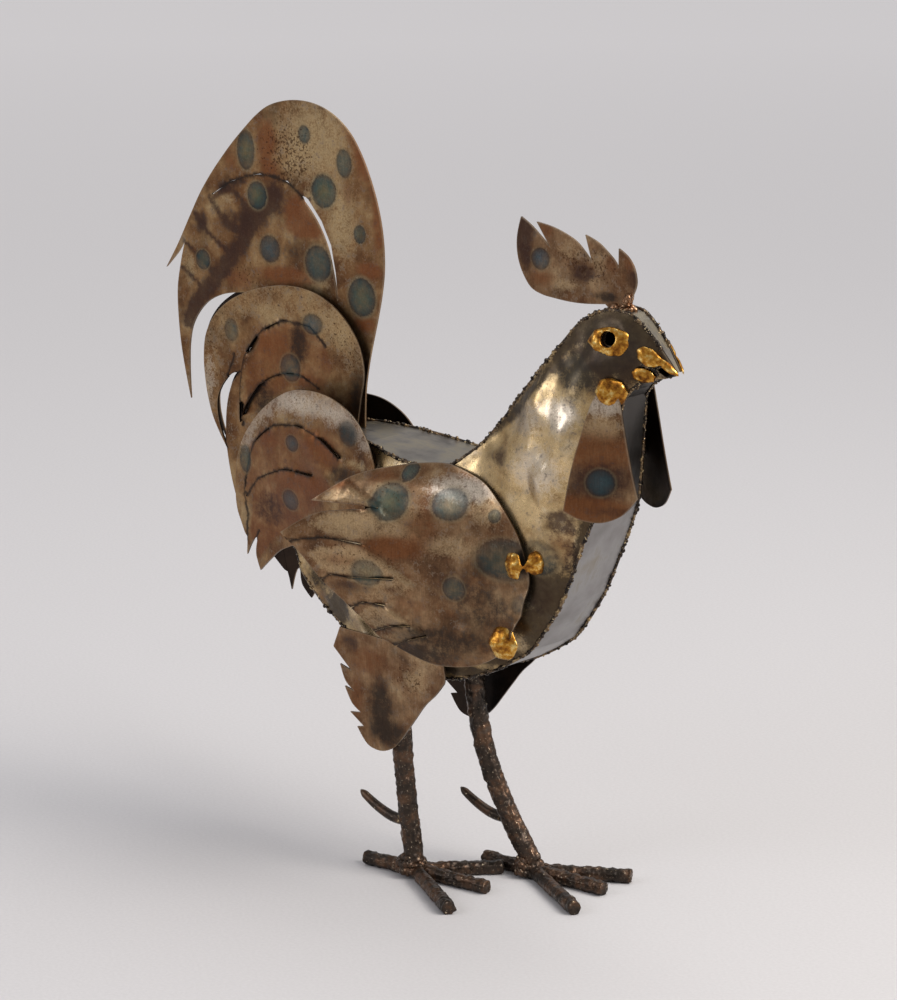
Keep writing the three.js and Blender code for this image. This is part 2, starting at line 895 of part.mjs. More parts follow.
addPair("wing_tack_lower", wingTack([
  [-13.5, -23.6, 20],
  [-7.3, -25.8, 12],
]), brazedBrass);

// Thigh plates, legs, spurs and feet
const toeRadius = toeDiameter / 2;
const legRadius = legDiameter / 2;
const legLean = 5;
function foot(name, hub, legPath, swing, sideToes) {
  const at = (angle, length) => [
    hub[0] + Math.cos(angle) * length,
    hub[1] + Math.sin(angle) * length,
    toeRadius,
  ];
  const radians = (degrees) => (degrees * Math.PI) / 180;
  const straight = (extra, radius) =>
    rod(
      [at(Math.PI + swing, hindToeLength + extra), at(swing, middleToeLength + extra)],
      [radius, radius],
    );
  addPart(`toe_middle_${name}`, straight(0, toeRadius), crustedRod);
  const block = straight(toeDiameter, toeRadius + fitGap);
  for (const [toe, degrees, length] of sideToes) {
    const angle = radians(degrees);
    const toeRod = rod([at(swing + angle, 0), at(swing + angle, length)], [toeRadius, toeRadius]);
    addPart(`toe_${toe}_${name}`, largest(toeRod.subtract(block)), crustedRod);
  }
  const path = path3(legPath, 3);
  const legRod = (radius) => rod(path, path.map(() => radius));
  const leg = legRod(legRadius).subtract(bodyBlock).subtract(block);
  addPart(`leg_${name}`, largest(leg), crustedRod);
  const spurRoot = legPath[legPath.length - 2];
  const spurPath = [[0, 0], [-0.38, -0.02], [-0.72, 0.1], [-1, 0.26]].map(([x, z]) => [
    spurRoot[0] + x * spurLength,
    spurRoot[1],
    spurRoot[2] + z * spurLength,
  ]);
  const spurRadii = [0.5, 0.46, 0.34, 0.12].map((r) => r * spurDiameter);
  const spur = rod(spurPath, spurRadii, 6).subtract(legRod(legRadius + fitGap));
  addPart(`spur_${name}`, largest(spur), crustedRod);
}

const footTop = toeDiameter + fitGap;
const rightHub = [-strideLength / 2, stanceOffset - stanceWidth / 2];
const leftHub = [strideLength / 2, stanceOffset + stanceWidth / 2];
const hipHeight = bellyHeight + 14;
const rightFootSwing = Math.PI / 30;
const leftFootSwing = Math.PI / 60;
// The right inner toe stops just short of the left foot's middle toe
const innerToeTurn = rightFootSwing + (rightInnerToeAngle * Math.PI) / 180;
const innerToeReach = stanceWidth - toeRadius - toeRadius * Math.cos(innerToeTurn) - feetClearance;
const rightInnerToeLength = innerToeReach / Math.sin(innerToeTurn);
foot("right", rightHub, [
  [bodyX(31.6), rightHub[1] + legLean, hipHeight],
  [bodyX(33), rightHub[1] + legLean - 3, bellyHeight * 0.63],
  [bodyX(35.3), rightHub[1] + 1, bellyHeight * 0.26],
  [rightHub[0], rightHub[1], footTop],
], rightFootSwing, [
  ["inner", rightInnerToeAngle, rightInnerToeLength],
  ["outer", -rightOuterToeAngle, longToeLength],
]);
foot("left", leftHub, [
  [bodyX(40.4), leftHub[1] - legLean - 5, hipHeight],
  [bodyX(43.2), leftHub[1] - legLean - 1, bellyHeight * 0.6],
  [bodyX(49.8), leftHub[1] - 2, bellyHeight * 0.26],
  [leftHub[0], leftHub[1], footTop],
], leftFootSwing, [
  ["inner", -leftInnerToeAngle, longToeLength],
  ["outer", leftOuterToeAngle, shortToeLength],
]);

const thighTop = [bodyX(34.7), bodyZ(4)];
const thighPoints = [
  [-0.1, 8.6, CORNER],
  [57.7, -1.0, CORNER],
  [57.7, -16.7],
  [34.9, -40.8],
  [13.2, -68.5],
  [-1.3, -85.3],
  [-17.0, -92.6],
  [-33.8, -90.2],
  [-45.9, -76.3, CORNER],
  [-38.0, -74.5, CORNER],
  [-53.7, -64.3, CORNER],
  [-41.1, -62.5, CORNER],
  [-50.7, -56.4],
  [-59.1, -42.0, CORNER],
  [-48.3, -44.4, CORNER],
  [-57.9, -37.2],
  [-63.9, -22.7, CORNER],
  [-50.7, -26.3, CORNER],
  [-71.2, -8.2, CORNER],
  [-62.7, 11.0, CORNER],
];
function thigh(top, standOff) {
  const footSide = stanceWidth / 2 - legLean + 2 + legRadius + standOff;
  return bentSheet({
    outline: smoothOutline(placed(thighPoints, top, thighHeight)),
    base: (x, z) => footSide + (z - thighTop[1] + thighHeight) * 0.04,
  });
}
addPart("thigh_right", thigh(thighTop, 1.5), heatTintedSheet);
const leftThighTop = [thighTop[0] + 26, thighTop[1] + 14];
addPart("thigh_left", thigh(leftThighTop, 2.5).mirror([0, 1, 0]), darkSheet);

// The origin is on the floor under the middle of the whole figure
const whole = new THREE.Box3().setFromObject(parts);
const middle = whole.getCenter(new THREE.Vector3());
for (const mesh of parts.children) {
  mesh.geometry.translate(-middle.x, -middle.y, -whole.min.z);
}

export default parts;
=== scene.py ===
# %% [markdown]
# # A scrap metal rooster, welded from sheet steel and round bar
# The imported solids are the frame: each sheet, rod and bead already has its outline, its bend and its
# place. Blender adds what makes the real one look hand-made: the soft waves of hammered sheet, the
# colours that a torch leaves on steel, the lumpy weld along each seam, the crust on the legs and the
# melted brass at the eye and beak.

import math

import bpy
import bmesh
import numpy as np
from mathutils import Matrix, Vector
from mathutils.bvhtree import BVHTree
from mathutils.geometry import delaunay_2d_cdt


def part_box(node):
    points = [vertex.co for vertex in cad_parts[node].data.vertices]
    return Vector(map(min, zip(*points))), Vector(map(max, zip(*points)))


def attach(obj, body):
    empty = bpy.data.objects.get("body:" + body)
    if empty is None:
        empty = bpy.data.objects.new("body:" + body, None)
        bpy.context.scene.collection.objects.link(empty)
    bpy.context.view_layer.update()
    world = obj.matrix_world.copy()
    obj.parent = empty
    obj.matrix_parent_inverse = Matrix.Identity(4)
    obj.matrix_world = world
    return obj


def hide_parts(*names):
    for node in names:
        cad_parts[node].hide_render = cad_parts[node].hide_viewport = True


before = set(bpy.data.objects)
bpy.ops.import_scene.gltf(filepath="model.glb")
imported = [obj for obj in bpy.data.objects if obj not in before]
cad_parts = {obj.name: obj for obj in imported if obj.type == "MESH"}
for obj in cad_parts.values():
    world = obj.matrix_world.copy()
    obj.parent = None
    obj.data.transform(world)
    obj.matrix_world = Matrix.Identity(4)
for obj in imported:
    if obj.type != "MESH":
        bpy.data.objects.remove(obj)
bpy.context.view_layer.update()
MM = 0.001

# %% [markdown]
# The maker's drawing of every sheet is in millimetres, x along the bird and z up, with x counted from
# between the feet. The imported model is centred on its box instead, so one number, read from the rear edge
# of a flank, ties the two together.

# %% The drawing's place in the model
FLANK_REAR_IN_DRAWING = -161.0
drawing_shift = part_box("flank_right")[0].x / MM - FLANK_REAR_IN_DRAWING
print("drawing shift", round(drawing_shift, 2), "mm")

# %% [markdown]
# Every sheet, lump and bead is worked out in the drawing's millimetres and becomes an object at the end.

# %% Tools for pieces
def new_piece(name, places, faces, edges=()):
    """A smooth object from places in drawing millimetres. It is stored in metres, where the model has it."""
    mesh = bpy.data.meshes.new(name)
    places = (np.asarray(places) + np.array([drawing_shift, 0, 0])) * MM
    mesh.from_pydata([tuple(place) for place in places], edges, faces)
    mesh.polygons.foreach_set("use_smooth", np.ones(len(faces), bool))
    piece = bpy.data.objects.new(name, mesh)
    bpy.context.scene.collection.objects.link(piece)
    return piece


def corner_values(mesh, what="co"):
    """The places, or the normals, of a mesh's corners."""
    values = np.empty(len(mesh.vertices) * 3)
    mesh.vertices.foreach_get(what, values)
    return values.reshape(-1, 3)

# %% [markdown]
# The camera stands low at the rooster's right front, where the photograph was taken, with a long lens, so
# that the near and the far side of the bird are almost the same size. The lens is worked out for an image
# 1000 pixels high.

# %% Camera
IMAGE_WIDTH = 897
IMAGE_HEIGHT = 1000
CAMERA_TURN = math.radians(42)
CAMERA_PITCH = math.radians(14)
CAMERA_DISTANCE = 2600 * MM
PIXEL_SIZE = 0.72 * MM
FEET_PIXEL = (471.0, 877.0)

towards_camera = Vector(
    (
        math.sin(CAMERA_TURN) * math.cos(CAMERA_PITCH),
        -math.cos(CAMERA_TURN) * math.cos(CAMERA_PITCH),
        math.sin(CAMERA_PITCH),
    )
)
image_right = Vector((math.cos(CAMERA_TURN), math.sin(CAMERA_TURN), 0))
image_up = towards_camera.cross(image_right)
aside = (FEET_PIXEL[0] - IMAGE_WIDTH / 2) * PIXEL_SIZE
above = (IMAGE_HEIGHT / 2 - FEET_PIXEL[1]) * PIXEL_SIZE
feet = Vector((drawing_shift * MM, 0, 0))
camera_data = bpy.data.cameras.new("camera")
camera_data.sensor_width = 36
camera_data.lens = camera_data.sensor_width * CAMERA_DISTANCE / PIXEL_SIZE / IMAGE_HEIGHT
camera_data.clip_end = 30
camera = bpy.data.objects.new("camera", camera_data)
bpy.context.scene.collection.objects.link(camera)
camera.location = feet + towards_camera * CAMERA_DISTANCE - image_right * aside - image_up * above
camera.rotation_mode = "QUATERNION"
camera.rotation_quaternion = towards_camera.to_track_quat("Z", "Y")
bpy.context.scene.camera = camera
print("lens", round(camera_data.lens, 1), "mm")

# %% [markdown]
# A few small tools serve every material. One turns the sRGB hex colours that people read into the linear
# numbers that Blender mixes. Another adds a node with its settings and its links in one line, so that a
# tree reads like a recipe.

# %% Tools for materials
def colour(hex_code):
    parts = [int(hex_code[i : i + 2], 16) / 255 for i in (1, 3, 5)]
    return tuple(p / 12.92 if p <= 0.04045 else ((p + 0.055) / 1.055) ** 2.4 for p in parts) + (1.0,)


def plug(tree, node, sockets):
    """Fills sockets, by their names or numbers, with values, outputs or whole nodes."""
    for name, value in sockets.items():
        named = {socket.name: socket for socket in reversed(node.inputs) if socket.enabled}
        socket = node.inputs[name] if isinstance(name, int) else named[name]
        if isinstance(value, bpy.types.Node):
            value = next(output for output in value.outputs if output.enabled)
        if isinstance(value, bpy.types.NodeSocket):
            tree.links.new(value, socket)
        else:
            socket.default_value = value


def add(tree, kind, sockets=None, stops=(), **settings):
    """Adds a node of any kind. stops fill a colour ramp."""
    node = tree.nodes.new(kind)
    for name, value in settings.items():
        setattr(node, name, value)
    for place, (position, hex_code) in enumerate(stops):
        if place >= len(node.color_ramp.elements):
            node.color_ramp.elements.new(1.0)
        node.color_ramp.elements[place].position = position
        node.color_ramp.elements[place].color = colour(hex_code)
    plug(tree, node, sockets or {})
    return node


def new_material(name, **finish):
    """A metal with its shader, and the place of each point on the object, for patterns."""
    material = bpy.data.materials.new(name)
    material.use_nodes = True
    tree = material.node_tree
    tree.nodes.clear()
    finish = {name.replace("_", " "): value for name, value in finish.items()}
    shader = add(tree, "ShaderNodeBsdfPrincipled", finish)
    add(tree, "ShaderNodeOutputMaterial", {"Surface": shader})
    return material, tree, shader, add(tree, "ShaderNodeTexCoord").outputs["Object"]


def grain(place, size, detail, rough=0.5):
    """The sockets of a noise whose lumps are that many millimetres across."""
    return {"Vector": place, "Scale": 1 / (size * MM), "Detail": detail, "Roughness": rough}


def span(low, high, start=0.0, end=1.0):
    """The sockets of a map from one range of values to another."""
    return {"From Min": low, "From Max": high, "To Min": start, "To Max": end}


# %% [markdown]
# ## The studio
# The bird stands on a wide sheet of matt paper, which reaches past the picture on every side, also when
# it is seen from behind. The paper is a disc made of rings, and it isn't part of the object.

# %% Paper floor
FLOOR_RADIUS = 14.0
FLOOR_RINGS = 7
FLOOR_SIDES = 64

paper_looks = {"Metallic": 0.0, "Roughness": 0.9, "Specular_IOR_Level": 0.15}
paper, tree, shader, place = new_material("matt_paper", **paper_looks)
fibre = add(tree, "ShaderNodeTexNoise", grain(place, 2.5, 2.0))
tint = add(tree, "ShaderNodeValToRGB", {"Fac": fibre}, [(0.3, "#CCCACB"), (0.7, "#D1CFD0")])
away = (-math.sin(CAMERA_TURN), math.cos(CAMERA_TURN), 0.0)
depth = add(tree, "ShaderNodeVectorMath", {0: place, 1: away}, operation="DOT_PRODUCT").outputs["Value"]
# Painted light: the paper's colour is made lighter away from the camera, to make up for the lamps' falloff
# on the far floor.
painted_far_light = add(tree, "ShaderNodeMapRange", {"Value": depth, **span(0.2, 5.0, 1.0, 1.31)})
paper_colour = {"Factor": 1.0, "A": tint, "B": painted_far_light}
tint = add(tree, "ShaderNodeMix", paper_colour, data_type="RGBA", blend_type="MULTIPLY")
plug(tree, shader, {"Base Color": tint})
corners = [(feet.x, 0.0, 0.0)]
for ring in range(1, FLOOR_RINGS + 1):
    radius = FLOOR_RADIUS * (ring / FLOOR_RINGS) ** 2
    for side in range(FLOOR_SIDES):
        angle = 2 * math.pi * side / FLOOR_SIDES
        corners.append((feet.x + radius * math.cos(angle), radius * math.sin(angle), 0.0))
tiles = [(0, 1 + side, 1 + (side + 1) % FLOOR_SIDES) for side in range(FLOOR_SIDES)]
for ring in range(FLOOR_RINGS - 1):
    near = 1 + ring * FLOOR_SIDES
    for side in range(FLOOR_SIDES):
        after = (side + 1) % FLOOR_SIDES
        tiles.append((near + side, near + FLOOR_SIDES + side, near + FLOOR_SIDES + after, near + after))
floor_mesh = bpy.data.meshes.new("paper_floor")
floor_mesh.from_pydata(corners, [], tiles)
floor_mesh.materials.append(paper)
floor = bpy.data.objects.new("paper_floor", floor_mesh)
bpy.context.scene.collection.objects.link(floor)
print("floor tiles", len(tiles))

# %% [markdown]
# Metal shows what is around it, so the lights are large and soft. The main one is high on the camera's
# right and warms the breast. A weaker one stands on the left and behind, and throws the short shadows
# beside the toes. The world is a pale grey room.

# %% Lights
AIM_HEIGHT = 280 * MM


def put_light(kind, name, turn, pitch, distance, power, tone, **shape):
    """A light turned about the bird from the camera's side and lifted, in degrees, aimed at its middle."""
    angle = CAMERA_TURN + math.radians(turn)
    lift = math.radians(pitch)
    sideways = math.cos(lift)
    towards = Vector((math.sin(angle) * sideways, -math.cos(angle) * sideways, math.sin(lift)))
    data = bpy.data.lights.new(name, kind)
    data.energy = power
    data.color = colour(tone)[:3]
    for part, value in shape.items():
        setattr(data, part, value)
    light = bpy.data.objects.new(name, data)
    bpy.context.scene.collection.objects.link(light)
    light.location = Vector((0, 0, AIM_HEIGHT)) + towards * distance
    light.rotation_mode = "QUATERNION"
    light.rotation_quaternion = towards.to_track_quat("Z", "Y")


put_light("AREA", "window_box", 62, 34, 1.7, 13, "#FFF6EA", size=0.75)
put_light("AREA", "left_box", -68, 24, 1.8, 5.5, "#F4F6FF", size=0.7)
put_light("AREA", "ceiling_box", 150, 66, 2.0, 8, "#FFFFFF", size=1.05)
put_light("SUN", "high_window", 58, 45, 2.0, 1.3, "#FFFFFF", angle=math.radians(48))
world = bpy.data.worlds.new("grey_room")
world.use_nodes = True
room = world.node_tree.nodes["Background"]
plug(world.node_tree, room, {"Color": colour("#E4E2E3"), "Strength": 0.58})
bpy.context.scene.world = world
bpy.context.scene.view_settings.view_transform = "Standard"

# %% [markdown]
# ## Torch colours
# A torch held still on bare steel leaves a disc: blue-green in the middle, darker at its edge, then a
# thin pale ring. Swept about, it leaves straw, rust red, plum and smoke. The maker drew with it, so the
# marks are drawn here the same way, each as a place, a size and a strength in millimetres. The shader
# then breaks their edges up with noise. Some pale, straw and smoke marks are painted light instead:
# painted highlights on the neck, breast, wing and side tail, and painted shade low on the flank and wing.

# %% Heat discs: x, z, half width, half height, how blue, how strong
heat_discs = {
    "tail_top": [
        (-160, 522, 6.2, 6.8, 0.6, 0.9), (-121, 505, 7.7, 10.4, 0.5, 0.9),
        (-141, 483, 12.2, 12.3, 0.2, 0.95), (-106, 456, 6.2, 7.0, 0.3, 0.85),
        (-104, 411, 13.6, 14.5, 0.3, 0.95), (-219, 505, 9.2, 14.8, 0.2, 0.8),
        (-208, 473, 10.1, 10.4, 0.2, 0.9), (-196, 435, 10.4, 10.2, 0.8, 0.9),
        (-147, 430, 13.3, 13.4, 0.5, 0.95), (-265, 419, 7.7, 7.7, 0.4, 0.85),
    ],
    "tail_mid": [
        (-229, 372, 7.2, 8.9, 0.4, 0.6), (-146, 387, 10.0, 7.6, 0.85, 0.85),
        (-168, 352, 10.0, 10.5, 0.5, 0.7),
    ],
    "tail_side": [
        (-146, 303, 7.7, 6.2, 0.8, 0.75), (-83, 321, 10.6, 9.3, 0.7, 0.45),
        (-147, 261, 10.0, 7.6, 0.8, 0.75), (-203, 281, 7.2, 10.5, 0.4, 0.75),
    ],
    "wing": [
        (25, 290, 14.2, 11.2, 0.4, 0.8), (-19, 287, 13.9, 13.0, 0.2, 0.85),
        (-12, 307, 5.9, 5.9, 0.5, 0.85), (59, 286, 4.9, 4.7, 0.3, 0.75),
        (-32, 236, 12.6, 9.6, 0.3, 0.65), (32, 232, 8.6, 8.6, 0.4, 0.6), (81, 227, 6.0, 7.0, 0.9, 0.35),
        (69, 257, 22.0, 15.0, 0.35, 0.55),
    ],
    "flank": [
        (91, 261, 15.5, 12.5, 0.6, 0.6), (111, 391, 17.9, 13.7, 0.6, 0.2),
        (135, 411, 26.3, 20.1, 0.6, 0.1),
    ],
    "comb": [
        (63, 459, 8.2, 7.6, 0.95, 0.82),
    ],
    "wattle": [
        (140, 320, 9.6, 9.4, 0.8, 0.85),
    ],
}
print("heat discs", sum(len(v) for v in heat_discs.values()))

# %% Patches of tone: tone, x, z, half width, half height, strength
tone_patches = {
    "tail_top": [
        ("straw_and_highlight", -150, 518, 42, 34, 0.6), ("straw_and_highlight", -124, 464, 18, 34, 0.55),
        ("rust", -103, 512, 9, 24, 0.6), ("rust", -88, 465, 7, 30, 0.45), ("rust", -96, 431, 16, 7, 0.8),
        ("rust", -101, 392, 13, 7, 0.8), ("speck", -177, 506, 34, 30, 1.2),
        ("rust", -198, 512, 11, 24, 0.75), ("rust", -194, 493, 12, 10, 0.5),
        ("plum", -191, 473, 13, 17, 0.8), ("plum", -212, 457, 18, 12, 0.7),
        ("plum", -242, 475, 9, 6, 0.6), ("plum", -266, 447, 8, 10, 0.6),
        ("plum", -236, 451, 12, 10, 0.6), ("rust", -166, 463, 18, 17, 0.9),
        ("rust", -159, 453, 21, 7, 0.95), ("straw_and_highlight", -155, 472, 10, 12, 0.7),
        ("rust", -178, 417, 34, 8, 0.9), ("straw_and_highlight", -154, 416, 19, 6, 0.7),
        ("speck", -218, 414, 25, 12, 0.8), ("rust", -229, 409, 18, 9, 0.5),
        ("smoke_and_shade", -172, 435, 13, 10, 0.35), ("straw_and_highlight", -240, 468, 9, 4, 0.5),
        ("straw_and_highlight", -280, 412, 9, 14, 0.4), ("rust", -235, 498, 9, 11, 0.5),
        ("rust", -118, 484, 6, 14, 0.35),
    ],
    "tail_mid": [
        ("straw_and_highlight", -126, 388, 27, 17, 0.35), ("rust", -188, 368, 18, 16, 0.55),
        ("smoke_and_shade", -160, 371, 11, 21, 0.6), ("rust", -153, 346, 16, 4, 0.6),
        ("smoke_and_shade", -196, 324, 13, 14, 0.6), ("speck", -123, 370, 29, 21, 0.6),
        ("smoke_and_shade", -102, 341, 10, 20, 0.6), ("pale_and_highlight", -253, 331, 8, 25, 0.3),
        ("straw_and_highlight", -188, 390, 22, 7, 0.4), ("rust", -140, 335, 19, 6, 0.4),
    ],
    "tail_side": [
        # The pale patches along the top of the crescent are a painted highlight.
        ("pale_and_highlight", -138, 332, 30, 10, 0.42), ("speck", -135, 335, 27, 7, 0.6),
        ("pale_and_highlight", -100, 330, 21, 9, 0.4), ("rust", -177, 302, 14, 7, 0.6),
        ("rust", -113, 307, 24, 14, 0.6), ("rust", -135, 277, 40, 9, 0.55),
        ("smoke_and_shade", -86, 291, 21, 7, 0.5), ("plum", -173, 249, 24, 15, 0.5),
        ("smoke_and_shade", -84, 321, 13, 10, 0.5), ("straw_and_highlight", -72, 300, 14, 4, 0.5),
    ],
    "wing": [
        # On the wing, the pale patch at its upper front and the straw beside it are a painted highlight, and
        # the smoke patches on its lower part are painted shade.
        ("pale_and_highlight", 29, 300, 29, 10, 0.65), ("straw_and_highlight", 52, 291, 14, 15, 0.5), ("rust", -61, 296, 16, 6, 0.6),
        ("rust", -29, 302, 14, 6, 0.5), ("plum", -20, 287, 17, 11, 0.6),
        ("rust", -14, 256, 26, 10, 0.85), ("rust", 6, 270, 15, 15, 0.45),
        ("straw_and_highlight", -45, 272, 21, 6, 0.5), ("straw_and_highlight", -5, 281, 14, 9, 0.35),
        ("straw_and_highlight", 28, 261, 27, 9, 0.45), ("smoke_and_shade", 60, 251, 21, 13, 0.5), ("plum", 35, 234, 20, 14, 0.4),
        ("smoke_and_shade", 55, 219, 33, 22, 0.45), ("smoke_and_shade", 24, 194, 46, 12, 0.6),
        ("smoke_and_shade", -2, 180, 40, 9, 0.7), ("smoke_and_shade", 72, 197, 16, 10, 0.6),
        ("straw_and_highlight", -29, 221, 19, 7, 0.35), ("plum", -46, 224, 21, 6, 0.4), ("rust", -2, 214, 16, 9, 0.4),
        ("rust", -51, 243, 19, 5, 0.4), ("speck", -37, 244, 39, 22, 0.7),
        ("speck", -14, 295, 39, 9, 0.6), ("plum", 80, 258, 8, 9, 0.6),
    ],
    "flank": [
        # On the flank, the pale and straw patches on the neck and breast are a painted highlight, and the
        # smoke patches low on it, along the belly and in the gap under the wing, are painted shade.
        ("smoke_and_shade", 147, 414, 54, 39, 0.97), ("smoke_and_shade", 111, 391, 25, 16, 0.7),
        ("rust", 138, 404, 40, 27, 0.6), ("straw_and_highlight", 87, 378, 17, 9, 0.7), ("pale_and_highlight", 106, 365, 19, 9, 0.6),
        ("pale_and_highlight", 74, 356, 22, 15, 0.5), ("smoke_and_shade", 113, 371, 11, 10, 0.5),
        ("pale_and_highlight", 107, 359, 14, 10, 0.8), ("straw_and_highlight", 91, 325, 40, 28, 0.7), ("pale_and_highlight", 90, 322, 26, 20, 0.6),
        ("plum", 54, 325, 9, 7, 0.7), ("straw_and_highlight", 35, 315, 16, 9, 0.6), ("straw_and_highlight", 83, 294, 21, 13, 0.7),
        ("plum", 108, 288, 14, 11, 0.75), ("rust", 110, 271, 14, 15, 0.5),
        ("plum", 115, 260, 8, 18, 0.5), ("smoke_and_shade", 97, 236, 28, 27, 0.9),
        ("smoke_and_shade", 84, 209, 25, 19, 0.85), ("smoke_and_shade", 62, 181, 47, 11, 0.9),
        ("smoke_and_shade", 24, 165, 53, 7, 0.9), ("rust", 88, 232, 17, 20, 0.5),
        ("smoke_and_shade", -130, 216, 16, 24, 0.8), ("smoke_and_shade", -107, 186, 19, 18, 0.85),
        ("rust", -113, 206, 14, 15, 0.4), ("smoke_and_shade", 92, 195, 21, 12, 0.95),
        ("smoke_and_shade", 103, 216, 17, 16, 0.7),
    ],
    "comb": [
        ("plum", 47, 477, 11, 20, 0.9), ("plum", 50, 460, 6, 12, 0.6), ("rust", 65, 446, 13, 7, 0.6),
        ("rust", 68, 480, 9, 8, 0.5), ("straw_and_highlight", 81, 444, 16, 5, 0.5), ("straw_and_highlight", 89, 467, 14, 7, 0.3),
        ("plum", 100, 454, 12, 8, 0.75), ("straw_and_highlight", 115, 463, 9, 8, 0.35), ("rust", 125, 462, 9, 7, 0.4),
        ("smoke_and_shade", 121, 440, 13, 4, 0.75), ("rust", 141, 466, 6, 10, 0.6), ("plum", 144, 456, 6, 8, 0.55),
        ("speck", 106, 460, 39, 18, 0.9), ("rust", 106, 473, 10, 4, 0.35),
    ],
    "wattle": [
        ("pale_and_highlight", 138, 372, 17, 9, 0.5), ("straw_and_highlight", 137, 357, 18, 13, 0.5),
        ("rust", 136, 340, 32, 17, 0.7), ("plum", 140, 321, 25, 15, 0.8),
        ("smoke_and_shade", 142, 319, 14, 8, 0.5), ("rust", 134, 302, 36, 11, 0.9), ("plum", 149, 301, 21, 4, 0.4),
    ],
    "thigh": [
        ("rust", -66, 158, 25, 13, 0.5), ("straw_and_highlight", -11, 171, 17, 8, 0.5),
        ("straw_and_highlight", -20, 151, 14, 10, 0.45), ("smoke_and_shade", -54, 126, 14, 24, 0.7),
        ("smoke_and_shade", -47, 107, 22, 12, 0.7), ("plum", -82, 168, 12, 7, 0.5), ("rust", -77, 128, 8, 19, 0.5),
        ("speck", -25, 152, 23, 16, 0.9),
    ],
}
print("patches", sum(len(v) for v in tone_patches.values()))

# %% Strokes of tone: tone, places, half width, strength
tone_lines = {
    "tail_top": [
        ("plum", [(-198, 471), (-214, 453), (-225, 435), (-246, 413), (-273, 385), (-281, 372)], 8, 0.8),
        ("plum", [(-221, 483), (-235, 478), (-252, 468)], 3, 0.6),
        ("plum", [(-258, 467), (-247, 456), (-233, 446), (-219, 445)], 3, 0.6),
        ("plum", [(-232, 474), (-220, 464)], 3, 0.6),
        ("plum", [(-273, 453), (-259, 440), (-236, 427)], 2, 0.75),
        ("plum", [(-286, 431), (-270, 421), (-250, 410)], 2, 0.75),
        ("plum", [(-288, 411), (-269, 400)], 2, 0.7),
        ("rust", [(-119, 530), (-103, 510), (-91, 484), (-86, 452)], 4, 0.4),
    ],
    "tail_mid": [
        (
            "straw_and_highlight", [
                (-253, 331), (-252, 364), (-234, 389), (-192, 403), (-142, 403), (-112, 385),
                (-103, 360),
            ], 13, 0.2,
        ),
        (
            "speck", [
                (-253, 331), (-252, 364), (-234, 389), (-192, 403), (-142, 403), (-112, 385),
                (-103, 360),
            ], 13, 0.6,
        ),
    ],
    "tail_side": [
        # The pale stroke along the crescent is a painted highlight.
        ("pale_and_highlight", [(-204, 295), (-191, 317), (-153, 335), (-115, 341), (-85, 336), (-62, 318)], 10, 0.32),
    ],
    "flank": [
        ("smoke_and_shade", [(26, 330), (61, 357), (86, 386), (99, 409), (118, 428)], 5, 0.7),
        ("smoke_and_shade", [(127, 288), (121, 270), (119, 250), (98, 220)], 6, 0.85),
    ],
}
print("strokes", sum(len(v) for v in tone_lines.values()))

# %% [markdown]
# The tongues cut from the tail sheets were bent out and took a darker red than the sheet around them. The
# wing's feathers were bent up, and each flat triangle between a cut and its fold catches the light, which
# is painted on it as a straw highlight. These have straight, crisp borders.

# %% Tinted flats: tone, strength, corners
tone_flats = {
    "tail_mid": [
        (
            "rust", 0.42, [
                (-217, 308), (-210, 350), (-191, 377), (-162, 388), (-135, 377), (-126, 356),
                (-136, 340), (-169, 338),
            ],
        ),
    ],
    "tail_side": [
        (
            "rust", 0.4, [
                (-205, 252), (-198, 294), (-165, 314), (-130, 318), (-96, 307), (-88, 299), (-99, 288),
                (-149, 283),
            ],
        ),
        (
            "rust", 0.5, [
                (-199, 228), (-194, 257), (-158, 281), (-106, 287), (-94, 279), (-136, 246), (-167, 229),
                (-189, 207),
            ],
        ),
    ],
    "wing": [
        # The wing's straw flats are painted highlights on the triangles of the bent-up feathers.
        ("straw_and_highlight", 0.5, [(-60, 295), (-25, 282), (-46, 284), (-69, 283)]),
        (
            "straw_and_highlight", 0.45, [
                (-50, 278), (-25, 282), (3, 269), (-9, 262), (-32, 259), (-56, 260), (-75, 266),
                (-66, 274),
            ],
        ),
        (
            "straw_and_highlight", 0.5, [
                (-40, 255), (-32, 253), (4, 231), (-11, 235), (-33, 234), (-54, 232), (-67, 234),
                (-76, 245), (-66, 251),
            ],
        ),
        ("straw_and_highlight", 0.4, [(-55, 230), (-11, 234), (4, 231), (-23, 225)]),
        ("straw_and_highlight", 0.42, [(-35, 211), (-22, 214), (8, 194), (-18, 199), (-33, 193), (-46, 201)]),
        ("straw_and_highlight", 0.35, [(-30, 188), (-12, 196), (15, 194), (-18, 183)]),
    ],
}
print("flats", sum(len(v) for v in tone_flats.values()))

# %% [markdown]
# Smooth random numbers are needed for dents, crust and melted lumps. A lattice of fixed random values,
# blended between its points, gives the same numbers at each run.

# %% Smooth random numbers
def soft_noise(points_mm, size_mm, seed):
    """Numbers from -1 to 1 that change smoothly over about size_mm."""
    scaled = np.asarray(points_mm, float) / size_mm
    cell = np.floor(scaled).astype(np.int64)
    part = scaled - cell
    part = part * part * (3 - 2 * part)
    total = np.zeros(len(scaled))
    for corner in range(8):
        bits = np.array([corner & 1, corner >> 1 & 1, corner >> 2 & 1])
        key = ((cell + bits) * np.array([73856093, 19349663, 83492791])).sum(1) + seed * 374761393
        key = (key ^ (key >> 13)) * 1274126177
        value = ((key ^ (key >> 16)) & 0xFFFF) / 32767.5 - 1
        total += value * np.prod(np.where(bits, part, 1 - part), axis=1)
    return total


def ease(value, low, high):
    """0 below low, 1 above high and smooth between."""
    share = np.clip((value - low) / (high - low), 0, 1)
    return share * share * (3 - 2 * share)


